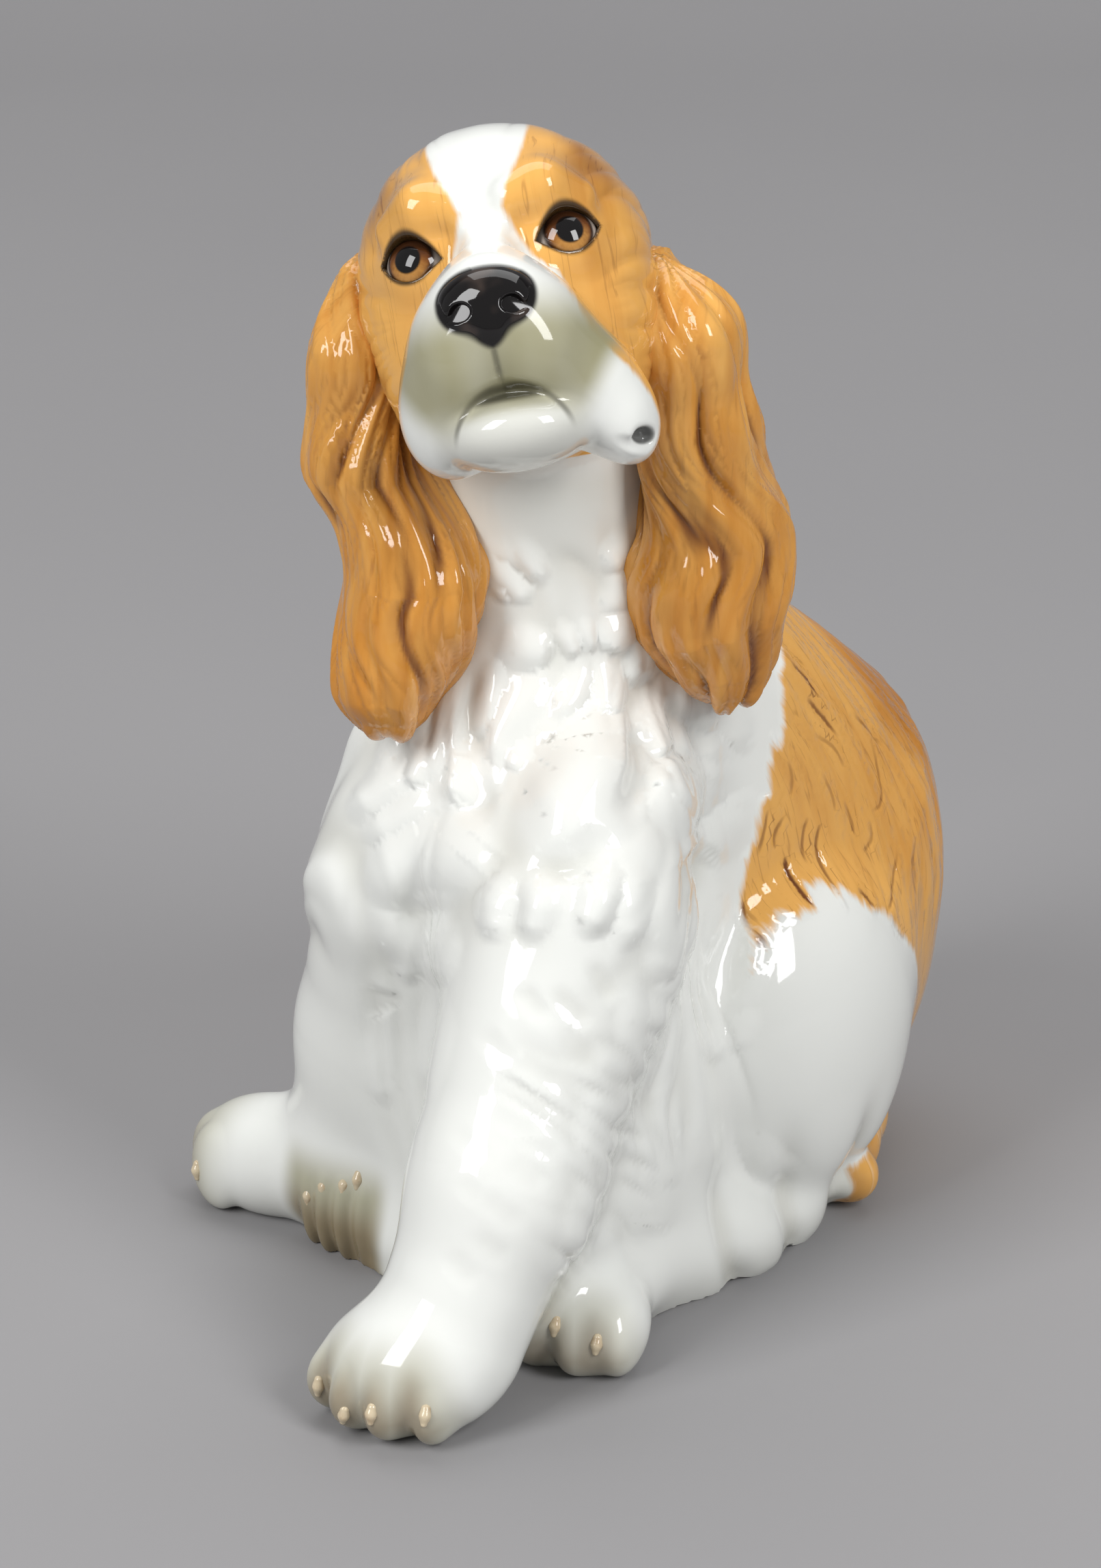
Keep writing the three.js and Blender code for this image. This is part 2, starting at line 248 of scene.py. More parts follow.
def face(q, eye_radius):
    """Distance to the head without its nose, in its own frame."""
    mirrored = mirror(q)
    big = melt(
        10,
        *forms(q, (0, 5, 5, 33, 32, 31.5), (0, -11, 10, 24, 19, 19.5), (0, -34, -19, 15, 24, 13),
            (0, -20, 0, 0, -48, -14, 10, 10), (0, -14, -30, 22, 26, 14)),
        *forms(mirrored, (9, -38, -26, 12, 18, 14)),
        *forms(q, (19, -31, -36, 10, 14, 11), (-15, -31, -36, 9, 13, 11)),
        *forms(mirrored, (19, -5, -11, 12.5, 18, 24)),
    )
    big = melt(6, big, egg(q, [23.5, -30, -43], [6.5, 10.5, 8]))
    big = melt(6, big, egg(mirrored, [11.5, -24.5, 12.5], [8.2, 8.8, 8]))
    big = press(6, big, egg(mirrored, [9.5, -36, 0.5], [2.6, 5, 6]))
    lids = np.sqrt(((mirrored - EYE_AT.astype(q.dtype)) ** 2).sum(1)) - (eye_radius + 1.1)
    big = melt(4.5, big, lids)
    brow = strand(mirrored, 2, [6.5, -32, 11.5, 2.8], [14, -30, 13, 3.8], [21.5, -25, 10.5, 2.4])
    big = melt(5, big, brow)
    rim, _, from_eye = eye_opening(q)
    socket = np.maximum(rim, eye_radius - 1.2 - from_eye)
    mouth = egg(q, MOUTH_AT, MOUTH_RADII)
    left_fold = strand(q, 1, [13, -50, -45, 1.3], [20, -43, -48.5, 1.3], [28, -34, -49, 1.4])
    right_fold = strand(q, 1, [-12, -50, -44, 1.2], [-16, -45, -48, 1.4], [-21, -37, -49, 1.4])
    cleft = strand(q, 1, [0, -61, -26, 0.8], [0, -58.5, -34, 0.8])
    under = strand(mirrored, 1, [0, -50, -51.5, 0.5], [13, -43, -51, 0.8])
    big = press(1.6, big, cleft, left_fold, right_fold, egg(q, LEFT_PIT, PIT_RADII))
    big = press(2.2, big, mouth)
    big = melt(3, big, egg(q, [0.8, -41.3, -42.2], [15.4, 12.6, 8]))
    big = press(1.5, big, under)
    return press(0.7, big, socket)


def nose_pad(q):
    """Distance to the nose leather before its nostrils are opened, in the head's own frame."""
    mirrored = mirror(q)
    return melt(
        3,
        *forms(q, (0, -53.6, -14.8, 10.2, 7.4, 7), (0, -54.4, -19.6, 7.6, 6.2, 7.2)),
        *forms(mirrored, (6, -54.2, -17.8, 4.6, 5.8, 5.6)),
    )


def nose(q):
    """Distance to the nose leather, in the head's own frame."""
    mirrored = mirror(q)
    hole = melt(
        1.2,
        egg(mirrored, [5.7, -60.6, -18.2], [2.3, 3.6, 1.9]),
        strand(mirrored, 0.5, [7, -60.4, -19.6, 0.8], [9.4, -58.4, -18.6, 0.7], [10.2, -57, -15.5, 0.5]),
    )
    groove = limb(mirrored, [0, -62.3, -16.5], [0, -60.9, -28], 0.6, 0.5)
    return press(0.8, nose_pad(q), hole, groove)


def torso(p):
    """Distance to the trunk without limbs, neck included."""
    core = melt(
        19,
        *forms(p, (4, 73, 54, 54, 56, 56), (4, 72, 88, 5, 6, 170, 54, 27), (2, 26, 74, 42, 54, 62),
            (4, -9, 116, 35, 39, 50), (2, -26, 50, 34, 16, 62), (4, 2, 150, 8, -10, 215, 32, 26),
            (34, -26, 112, 18, 22, 34), (-15, -24, 112, 16, 19, 34), (38, -5, 42, 15, 22, 34),
            (-34, 2, 40, 15, 24, 32), (34, 24, 8, 25, 46, 16), (-32, 18, 6, 22, 50, 18),
            (2, 20, 4, 42, 62, 14)),
    )
    haunches = melt(6, core, egg(p, [46, 45, 52], [23.6, 39, 44]), egg(p, [-38, 44, 48], [24, 38, 42]))
    return melt(7, haunches, egg(p, [-13, -37, 110], [17, 15, 21]))


LEFT_TOES = [(15.5, -96, -24), (24, -100.5, -10), (32.5, -100.5, 0), (41, -96.5, 14)]
RIGHT_TOES = [(-75.2, -17, 8), (-76.7, -26.5, -4), (-72.5, -33.5, -20)]
LEFT_HIND_TOES = [(42.5, -50, -12), (50, -52, 2), (57, -47, 22)]
RIGHT_HIND_TOES = [(-41, -33.5), (-35.3, -35.4), (-29.5, -35.8), (-23.6, -35)]


def legs(p):
    """Distances to the two forelegs, to the two hind feet and to all the toes."""
    left = melt(
        9,
        *forms(p, (36, -36, 106, 38, -66, 52, 26, 21), (38, -66, 52, 35, -84, 20, 20, 18),
            (29, -93, 13, 20.5, 16.5, 14.5), (38, -44, 40, 13, 30, 44)),
    )
    right = melt(
        9,
        *forms(p, (-19, -32, 100, -32, -20, 56, 17, 18), (-32, -20, 56, -42, -18, 20, 18, 16),
            (-42, -18, 18, -60, -23, 14, 15, 13), (-67, -25, 13, 16.5, 13, 13.5, -10)),
    )
    left_hind = limb(p, [38, -8, 12], [47, -40, 12], 11, 10)
    left_hind = melt(5, left_hind, egg(p, [51, -46.5, 10.5], [11.5, 12.5, 12]))
    right_hind = limb(p, [-28, -4, 13], [-31, -23, 12], 13, 12)
    toes = [
        *[egg(p, [x, y, 9.5], [5.6, 11, 9.6], turn) for x, y, turn in LEFT_TOES],
        *[egg(p, [x, y, 11], [9, 5.6, 11], turn) for x, y, turn in RIGHT_TOES],
        *[egg(p, [x, y, 9.5], [5.6, 9.5, 9.5], turn) for x, y, turn in LEFT_HIND_TOES],
        *[egg(p, [x, y, 11], [3.1, 6.2, 12]) for x, y in RIGHT_HIND_TOES],
    ]
    return [left, right], [left_hind, right_hind], toes


def tail(p):
    """Distance to the tail."""
    return strand(p, 4, [0, 110, 15, 11], [24, 99, 14, 11], [40, 79, 12.5, 10], [56, 55, 8.5, 7])


# A blind hole in the base: its middle, radius and depth
VENT_X, VENT_Y, VENT_RADIUS, VENT_DEPTH = 0, 58, 6, 12


def figure(p, eye_radius):
    """Distance to everything but the ears, the nose, the eyeballs and the claws."""
    forelegs, hind_feet, toes = legs(p)
    trunk = melt(7, melt(18, torso(p), *forelegs), *hind_feet)
    trunk = melt(1.8, trunk, *toes)
    whole = melt(4, melt(10, trunk, face(to_head(p), eye_radius)), tail(p))
    vent = np.hypot(p[:, 0] - VENT_X, p[:, 1] - VENT_Y) - VENT_RADIUS
    vent = np.maximum(vent, p[:, 2] - VENT_DEPTH)
    return np.maximum(press(0.6, whole, vent), -p[:, 2])


# The ears hang along these stops: x, y, z and a radius
LEFT_EAR = [
    [35, -5, 251, 5], [43, -3.5, 238, 9], [45, 1, 214, 10], [44.5, 2.3, 204, 10], [46.2, 4.5, 192, 13],
    [45.3, 4.1, 182, 14.6], [46.1, 4.9, 172, 13], [48.6, 8.4, 160, 7.4], [50, 9.7, 154, 4],
]
RIGHT_EAR = [
    [-20, -36, 249, 5], [-20, -40, 234, 8], [-16.5, -43.4, 208, 9.5], [-8.2, -41.6, 194, 9.5],
    [-2.5, -40.5, 184, 10], [-3.6, -41.5, 176, 11], [-6.3, -43.6, 166, 9.5], [-8.6, -44.8, 158, 7.5],
    [-8.3, -44.2, 152, 4.8],
]
EAR_TURN, EAR_MARGIN = 13, 26


def ear(p, line):
    """Distance to an ear: two locks side by side."""
    locks = [strand(p, 8, *[[x + s * 3, y - s * 6, z, r] for x, y, z, r in line]) for s in (1, -1)]
    return melt(14, *locks)


# Surfaces made from forms

# A grid is first sampled at every COARSE-th point, then where a point lies within NEAR steps of the surface
COARSE, NEAR, AT_ONCE = 4, 7, 200000


def sample(form, low, high, step):
    """A grid of distances that are exact near the surface."""
    sides = [np.arange(a, b + step, step, dtype=np.float32) for a, b in zip(low, high)]
    shape = tuple(len(s) for s in sides)

    def points(axes):
        return np.stack([g.ravel() for g in np.meshgrid(*axes, indexing="ij")], 1)

    rough = form(points([s[::COARSE] for s in sides])).reshape([len(s[::COARSE]) for s in sides])
    for axis, count in enumerate(shape):
        rough = np.repeat(rough, COARSE, axis)
        rough = np.take(rough, np.arange(count), axis)
    near = np.abs(rough) < NEAR * step
    cells = np.argwhere(near)
    places = np.stack([sides[i][cells[:, i]] for i in range(3)], 1)
    rough[near] = np.concatenate([form(part) for part in np.array_split(places, 1 + len(places) // AT_ONCE)])
    return rough


def skin(form, low, high, step):
    """A form's closed surface: a spot in each crossed grid cell, slid onto the surface, and the squares."""
    value = sample(form, low, high, step)
    inside = value < 0
    cut = tuple(n - 1 for n in value.shape)
    total, crossings = np.zeros(cut + (3,), np.float32), np.zeros(cut, np.int16)
    for axis in range(3):
        u, v = (axis + 1) % 3, (axis + 2) % 3
        for du in (0, 1):
            for dv in (0, 1):
                lower = [slice(0, cut[0]), slice(0, cut[1]), slice(0, cut[2])]
                lower[u], lower[v] = slice(du, du + cut[u]), slice(dv, dv + cut[v])
                upper = list(lower)
                upper[axis] = slice(1, 1 + cut[axis])
                a, b = value[tuple(lower)], value[tuple(upper)]
                crossed = inside[tuple(lower)] != inside[tuple(upper)]
                spot = np.zeros(3, np.float32)
                spot[u], spot[v] = du, dv
                total[crossed] += spot
                total[crossed, axis] += (a / np.where(crossed, a - b, 1))[crossed]
                crossings += crossed
    cells = np.argwhere(crossings)
    number = np.full(cut, -1, np.int64)
    number[tuple(cells.T)] = np.arange(len(cells))
    spots = (total[tuple(cells.T)] / crossings[tuple(cells.T)][:, None] + cells) * step + np.array(low)
    squares = []
    for axis in range(3):
        u, v = (axis + 1) % 3, (axis + 2) % 3
        lower, upper = [slice(1, None)] * 3, [slice(1, None)] * 3
        lower[axis], upper[axis] = slice(0, -1), slice(1, None)
        edges = np.argwhere(inside[tuple(lower)] != inside[tuple(upper)])
        edges[:, u] += 1
        edges[:, v] += 1
        edges = edges[(edges[:, u] < cut[u]) & (edges[:, v] < cut[v])]
        ring = []
        for back_u, back_v in ((0, 0), (1, 0), (1, 1), (0, 1)):
            cell = edges.copy()
            cell[:, u] -= back_u
            cell[:, v] -= back_v
            ring.append(number[tuple(cell.T)])
        ring = np.stack(ring, 1)
        outward = inside[tuple(edges.T)]
        ring[~outward] = ring[~outward, ::-1]
        squares.append(ring)
    return slide(form, spots, 2), np.concatenate(squares)


def slope(form, spots, nudge=0.05):
    """Distances at some spots and their directions of steepest rise."""
    here = form(spots)
    rise = np.stack([form(spots + np.eye(3)[i] * nudge) - here for i in range(3)], 1)
    return here, rise / nudge


def slide(form, spots, turns):
    """Spots moved onto the surface of a form."""
    for _ in range(turns):
        here, rise = slope(form, spots)
        pull = here / np.maximum((rise * rise).sum(1), 0.25)
        spots = spots - rise * np.clip(pull, -0.8, 0.8)[:, None]
    return spots


def split(spots, squares, chosen):
    """Each chosen square cut into four, and fans in the squares beside them, so that no seam opens."""
    chosen = chosen & (squares[:, 2] != squares[:, 3])
    part, rest = squares[chosen], squares[~chosen]
    edges = np.sort(np.stack([part, np.roll(part, -1, 1)], 2).reshape(-1, 2), 1)
    single, place = np.unique(edges, axis=0, return_inverse=True)
    first_middle = len(spots)
    first_centre = first_middle + len(single)
    middles = first_middle + place.reshape(-1, 4)
    centres = first_centre + np.arange(len(part))
    four = [np.stack([part[:, i], middles[:, i], centres, middles[:, i - 1]], 1) for i in range(4)]
    known = single[:, 0] * first_middle + single[:, 1]
    sides = np.sort(np.stack([rest, np.roll(rest, -1, 1)], 2), 2)
    sought = sides[..., 0] * first_middle + sides[..., 1]
    found = np.minimum(np.searchsorted(known, sought), len(known) - 1)
    halved = known[found] == sought
    beside_cut = halved.any(1)
    fans = []
    hub = first_centre + len(part)
    for corners, cut, middle in zip(rest[beside_cut], halved[beside_cut], found[beside_cut]):
        ring = []
        for i in range(4):
            if corners[i] not in ring:
                ring.append(corners[i])
            if cut[i]:
                ring.append(first_middle + middle[i])
        fans += [(hub, a, b, b) for a, b in zip(ring, ring[1:] + ring[:1])]
        hub += 1
    added = [spots[single].mean(1), spots[part].mean(1), spots[rest[beside_cut]].mean(1)]
    spots = np.concatenate([spots, *added])
    return spots, np.concatenate([rest[~beside_cut], *four, np.array(fans, int).reshape(-1, 4)])


def sculpt(form, relief, spots):
    """Spots raised by a relief, and the normals of the raised surface."""
    normals = unit(slope(form, spots)[1])
    side = np.where(np.abs(normals[:, 2:]) < 0.9, [[0.0, 0.0, 1.0]], [[1.0, 0.0, 0.0]])
    first = unit(np.cross(side, normals))
    second = np.cross(normals, first)
    nudge = 0.2
    height = relief(spots)
    bent = normals.copy()
    for way in (first, second):
        bent -= way * ((relief(spots + way * nudge) - height) / nudge)[:, None]
    return spots + normals * height[:, None], unit(bent)


# Relief: tufts, locks and hair grooves

# Tufts and grooves of the chest and legs, on the plane that the photograph looks at squarely: three places
# across and up, a half width and a height
TUFTS = [
    (-11.7, 166.3, -3.5, 162.3, 2.7, 154.4, 3.4, 1.6), (-11.5, 162.2, -5.8, 156.3, -0.7, 150.5, 3, 1.3),
    (-10.3, 157.1, -7.4, 154, -4.7, 151.1, 2, 0.9), (23.1, 169.6, 20.5, 164.1, 15.7, 157.6, 3.4, 1.6),
    (23.6, 162.4, 20.5, 154.9, 15.1, 147.9, 3.4, 1.2), (-10.4, 140.7, -2, 140.7, 4.5, 138.5, 4.5, 1.8),
    (5.8, 147.9, 7.3, 143.3, 10.4, 138.7, 2.4, 1.4), (10.4, 148.7, 12.3, 144.1, 13.2, 139.8, 2, 1.2),
    (22.1, 151.1, 19, 144.9, 16.7, 139.5, 3.6, 2.2), (25.7, 146.6, 25.8, 139.6, 20.6, 133, 3.4, 2.2),
    (-7.4, 140.2, -10.4, 130.2, -12.9, 117.8, 3.4, 1.8), (2.7, 137.1, -4.3, 127.1, -12.5, 110, 4.4, 2.2),
    (10.4, 140.2, 9.7, 131.7, 2.7, 125.5, 3.4, 1.8), (-0.4, 123.2, -4.3, 117.7, -5.8, 113.1, 3, 1.2),
    (13.2, 139.5, 17.1, 131.8, 15.4, 123.3, 4.2, 2.6), (25.3, 133.4, 25.7, 122.5, 30.5, 115.3, 3.8, 2.4),
    (31.2, 127.3, 32.5, 120.2, 38.2, 115.4, 3.6, 2.2), (28.5, 137.4, 35.8, 130.5, 41.2, 120.8, 4, 2),
    (34.1, 139.1, 44.1, 129.1, 47.7, 114.8, 5, 1.5), (8.9, 132.5, 15, 114.6, -6.2, 94.3, 11, 4.6),
    (30.1, 122.5, 34.1, 113.1, 25.1, 102.3, 11, 3.8), (-12.9, 124, -13.7, 113.1, -20.7, 106.6, 4.6, 2.6),
    (-21.5, 123.3, -25.5, 114.7, -28.3, 109.1, 3.2, 2), (-29.3, 117, -33.5, 110.8, -44.8, 102.1, 4.6, 2.2),
    (-14.4, 110, -27.1, 103.7, -41.5, 97.4, 5, 1.6), (-12.8, 103, -22.3, 94.4, -41.6, 86.3, 9, 3.8),
    (-14.3, 93.7, -22.3, 88.1, -32, 84.8, 5, 2.2), (41, 113.2, 42.8, 102, 35.4, 92.8, 7, 2),
    (-5.3, 92.8, -9.3, 83.9, -7.8, 74.1, 4.2, 2), (1.9, 92.8, 1.2, 84, -2.2, 73.8, 4, 2),
    (13.1, 93.5, 14.9, 85.5, 9.6, 75.1, 4.4, 2.2), (18.8, 92.8, 21.9, 83.9, 18.8, 71.7, 4.2, 1.6),
    (28.9, 88.4, 31.3, 76, 28.2, 63.6, 5, 2), (-25.6, 80.9, -21.6, 73.3, -24.3, 62.4, 3.6, 2),
    (-35.2, 80.8, -30.3, 72, -29.8, 62.2, 4, 2), (-22.1, 64.5, -23.6, 50.9, -26.1, 36.8, 3.6, 2.2),
    (-33.4, 55.5, -37.5, 43.6, -33.9, 32.9, 3.6, 1.8), (40.4, 87.5, 39.6, 74.7, 30, 56.9, 5, 2.4),
    (36.5, 70.7, 30.1, 55.1, 26.3, 38.6, 4.6, 3), (23.5, 65.4, 23.6, 52.8, 29.3, 39.4, 3.6, 2.4),
    (51, 79.2, 51.1, 66.3, 45.7, 51.8, 3.6, 2.2), (45.8, 63.3, 49.1, 53.5, 44.7, 46.6, 3.2, 2.4),
    (39, 55, 41, 49.3, 45.7, 45.8, 2.8, 2), (20.5, 41.9, 13.5, 33, 17.9, 21.1, 3.6, 2.4),
    (34.5, 36.8, 29.4, 25.7, 32.2, 12.5, 4.6, 2), (39.4, 34.9, 42, 23.2, 53, 6.9, 4.4, 2.2),
    (10.4, 20.8, 11.9, 12.7, 8.1, 3.1, 3.8, 1.8), (49.6, 29, 54.9, 20.1, 67.2, 13, 4, 2.4),
    (23.2, 22.9, 28.1, 12.8, 26.5, 3.6, 4.6, 1.6),
]
GROOVES = [
    (22.9, 127.9, 23.5, 114.6, 18.8, 100.8, 2.2, -2.4), (-12.9, 141.1, -13.7, 117.8, -12.8, 99.2, 2.4, -2.2),
    (17.3, 100.8, 8.8, 92.9, -3.5, 91.9, 2.6, -1.6), (33.8, 94.4, 37.1, 92.8, 41.2, 96.3, 3, -1.2),
    (-34.9, 62.9, -35.8, 58.7, -34.6, 55.5, 2.8, -2), (-9.3, 45.9, -1.9, 39.9, 6.1, 34.6, 1.8, -0.9),
    (-9.9, 38.3, -3.4, 33.8, 3.6, 31.2, 1.8, -0.9), (-5.7, 33.5, 1.2, 28.9, 7, 27.1, 1.6, -0.8),
    (-7.3, 27.1, -1.9, 22.5, 3.6, 19.9, 1.8, -0.9), (-12.9, 20, -7.3, 14.4, -0.7, 11.2, 1.8, -0.9),
    (-14.2, 10.7, -9.6, 5.8, -4.7, 3.4, 1.8, -0.9), (-19.6, 6.4, -16.5, 1.1, -12.4, -2.6, 1.8, -0.9),
    (-3.4, 65.6, -0.4, 61, 3.6, 56.7, 1.6, -0.7), (3.9, 65.6, 8.5, 59.5, 13.1, 55.1, 1.6, -0.8),
    (11.6, 71.7, 15.7, 65.5, 19.3, 60.8, 1.6, -0.7), (-5, 49.5, 0.4, 44.9, 7.3, 41.9, 1.8, -0.8),
    (-12.7, 56.2, -8, 50.2, -2.7, 46.5, 1.8, -0.6), (4.5, 56.4, 10.3, 50.2, 16.5, 46.9, 1.8, -0.8),
    (-18.9, 34.6, -14.2, 28.8, -8, 25.9, 1.6, -0.5), (-17.2, 22.6, -14.2, 18.9, -10.8, 16.7, 1.6, -0.6),
]

# The edge of the tan saddle and its dark hairs, as places along and up the flank. A hair's last number is its
# strength
SADDLE = [
    (10, 240), (22, 215), (34, 195), (46, 170), (48, 155), (45.5, 146.4), (41.5, 142.9), (39.3, 134.2),
    (36.6, 127.1), (34.9, 130.4), (33.8, 126.2), (32.5, 123.2), (31.8, 116.9), (28.8, 115), (26.7, 105.3),
    (23.5, 102.5), (21.7, 95), (20.1, 90.2), (19.3, 86.5), (17.5, 82.9), (14.8, 77.4), (18.5, 81.7),
    (22, 85.2), (25.1, 88.2), (29.1, 87.9), (34.6, 88.7), (36.2, 92.9), (40.6, 92.3), (41.8, 90), (43, 86.5),
    (44.6, 90.2), (48.4, 87), (52.6, 82.5), (55.8, 81.9), (64.1, 72.7), (72.5, 64.5), (78, 56), (82, 44),
    (84, 30), (86, 14), (86, -5), (200, -5), (200, 300), (10, 300),
]
HAIRS = [
    (46.9, 143.8, 51.8, 138.6, 54.9, 131.8, 0.8), (49.9, 134.9, 53.6, 129.9, 58.2, 122.5, 0.8),
    (67.2, 125.6, 71.8, 120.4, 76.7, 115, 0.5), (71, 119.6, 70.1, 106.7, 64.2, 102.9, 0.5),
    (48.7, 126.5, 55.3, 121.2, 57, 115.2, 0.4), (36.2, 110.8, 33, 105.8, 33.1, 101.9, 0.6),
    (43.4, 107.7, 41.2, 103.6, 40.4, 96.4, 0.6), (47.6, 105.3, 44.7, 99.5, 43, 86.5, 0.7),
    (35.8, 96.4, 34, 91.9, 34.8, 88.6, 1), (35.4, 100.6, 34.6, 95.7, 34, 91.9, 1),
    (55, 108.9, 56.6, 102.8, 56.2, 99.6, 0.5), (62.4, 102.3, 61.9, 96.8, 57.3, 94.9, 0.4),
    (49.9, 88.6, 52, 85.9, 53.5, 82.7, 0.8), (71.3, 93.1, 64.4, 83.9, 58.5, 80.5, 0.5),
    (79.2, 92.8, 74.5, 85, 76.9, 77.1, 0.4), (22.1, 92.9, 20.8, 89.1, 19.5, 85.5, 0.7),
    (21, 86.3, 18.5, 81.7, 15.6, 78.2, 1), (31.4, 113.1, 29.7, 107.9, 27, 101.6, 0.6),
    (60.6, 79.7, 61.9, 74.7, 69.2, 68.4, 0.6), (48.5, 117.8, 51.2, 111.2, 51.4, 106.4, 0.4),
    (38, 123.7, 39.2, 118.3, 37.4, 113.7, 0.4),
]


def chance(column, row, salt):
    """A repeatable number from 0 to 1 for each cell."""
    wave = np.sin(column * 127.1 + row * 311.7 + salt * 74.7) * 43758.5453
    return wave - np.floor(wave)


def swirl(u, v, salt):
    """Smooth noise of about -1 to 1 whose cells measure 1 by 1."""
    i, j = np.floor(u), np.floor(v)
    x, y = u - i, v - j
    fade_x, fade_y = x ** 3 * (x * (x * 6 - 15) + 10), y ** 3 * (y * (y * 6 - 15) + 10)
    total = np.zeros(len(u))
    for di in (0, 1):
        for dj in (0, 1):
            way = 2 * pi * chance(i + di, j + dj, salt)
            share = (fade_x if di else 1 - fade_x) * (fade_y if dj else 1 - fade_y)
            total += share * (np.cos(way) * (x - di) + np.sin(way) * (y - dj))
    return 1.6 * total


def locks(down, across, length, width, salt, soft):
    """Height, 0 to 1, of long rounded locks. The creases between them are softer with a larger soft."""
    crest = np.sqrt(swirl(across / width, down / length, salt) ** 2 + soft) - sqrt(soft)
    return 1 - np.exp(-3.2 * crest)


def fur(down, across, sizes, salt, soft=0.01):
    """Large, middling and fine locks together, about 0: each size is a length, a width and a height."""
    heights = np.zeros(len(down))
    for number, (length, width, height) in enumerate(sizes):
        hair = locks(down + 11 * number, across, length, width, salt + 10 * number, soft)
        heights += height * (hair - 0.45)
    return heights


def wander(p, reach):
    """Slow waves that keep the hair from looking ruled."""
    x, y, z = p.T / reach
    return np.sin(x * 1.7 + 1.3 * np.sin(z * 1.1 + y)) + np.sin(z * 1.3 + 1.7 * np.sin(y * 0.9 - x))


def masked(mask, pattern, p):
    """A pattern worked out only where its mask lets it through."""
    height = np.zeros(len(p))
    on = mask > 0
    if on.any():
        height[on] = mask[on] * pattern(p[on])
    return height


def turned(p, x, y, radius):
    """How far round a vertical line points lie, in millimetres at a radius."""
    return np.arctan2(p[:, 0] - x, y - p[:, 1]) * radius


def bend(row, pieces=6):
    """Stops along the curve through a row's three places."""
    a, b, c = np.array(row[:6], float).reshape(3, 2)
    t = np.linspace(0, 1, pieces + 1)[:, None]
    pull = 2 * b - (a + c) / 2
    return (1 - t) ** 2 * a + 2 * t * (1 - t) * pull + t * t * c


def beside(flat, stops):
    """Distances from points of a plane to a curve, below 0 on its left, and how far along it they lie."""
    best, place = np.full(len(flat), 1e9), np.zeros(len(flat))
    count = len(stops) - 1
    for i, (a, b) in enumerate(zip(stops, stops[1:])):
        run, d = b - a, flat - a
        t = np.clip(d @ run / (run @ run), 0, 1)
        away = np.hypot(*(d - t[:, None] * run).T)
        side = np.where(run[0] * d[:, 1] - run[1] * d[:, 0] > 0, -1, 1)
        nearer = away < np.abs(best)
        best[nearer], place[nearer] = (away * side)[nearer], ((i + t) / count)[nearer]
    return best, place


def near_rows(flat, rows, reach):
    """Each row with the points near it, and their distances from it and places along it."""
    for row in rows:
        stops = bend(row)
        low, high = stops.min(0) - reach(row), stops.max(0) + reach(row)
        chosen = np.flatnonzero(((flat > low) & (flat < high)).all(1))
        if len(chosen):
            away, place = beside(flat[chosen], stops)
            yield row, chosen, away, place


def placed_tufts(p):
    """The placed tufts, rounded across and faded at both ends, and the grooves among them."""
    turn, rise = FACING
    across = np.array([cos(turn), sin(turn), 0])
    ahead = np.array([sin(turn) * cos(rise), -cos(turn) * cos(rise), sin(rise)])
    flat = np.stack([p @ across, p @ np.cross(ahead, across)], 1)
    tall, deep = np.zeros(len(p)), np.zeros(len(p))
    for row, chosen, away, t in near_rows(flat, TUFTS, lambda row: row[6] * 1.7):
        half = row[6] * 1.6 * (1 - t ** 4) ** 0.5 * (0.5 + 0.5 * ramp(t, 0, 0.35)) + 0.01
        crest = np.clip(1 - (away / half) ** 2, 0, 1) ** 2 * ramp(t, -0.05, 0.6) * ramp(t, 1, 0.75)
        tall[chosen] = np.maximum(tall[chosen], 1.1 * row[7] * crest)
    for row, chosen, away, t in near_rows(flat, GROOVES, lambda row: row[6] * 2.5):
        trough = np.clip(1 - (away / (row[6] * 2.2)) ** 2, 0, 1) ** 2 * ramp(t, 0, 0.35) * ramp(t, 1, 0.65)
        deep[chosen] = np.minimum(deep[chosen], row[7] * trough)
    return (tall + deep) * ramp(p @ ahead, 14, 26) * (0.35 + 0.65 * ramp(p[:, 2], 72, 112))


def saddle(p):
    """How far points lie within the tan saddle of the back and flanks, below 0 outside it."""
    flat = p[:, 1:3]
    corners = np.array(SADDLE, float)
    away, inside = np.full(len(p), 1e9), np.zeros(len(p), bool)
    for a, b in zip(corners, np.roll(corners, -1, 0)):
        run, d = b - a, flat - a
        t = np.clip(d @ run / (run @ run), 0, 1)
        away = np.minimum(away, np.hypot(*(d - t[:, None] * run).T))
        crosses = (a[1] > flat[:, 1]) != (b[1] > flat[:, 1])
        inside ^= crosses & (d[:, 0] < run[0] * d[:, 1] / (run[1] if run[1] else 1))
    return np.where(inside, away, -away)


def flank_hairs(p):
    """Distances from the flank's placed hairs, below 0 on one side, and how strongly each shows."""
    line, strength = np.full(len(p), 3.0), np.zeros(len(p))
    for row, chosen, away, t in near_rows(p[:, 1:3], HAIRS, lambda row: 3.0):
        shows = row[6] * ramp(np.abs(away), 2.6, 1.6) * ramp(t, 0, 0.3) * ramp(t, 1, 0.75)
        better = shows > strength[chosen]
        line[chosen[better]], strength[chosen[better]] = away[better], shows[better]
    return line, strength


def flank_flow(p):
    """Places across the hair of the flank, which sweeps back and then falls."""
    return p[:, 1] + 0.8 * np.maximum(p[:, 2] - 85, 0) ** 2 / 160


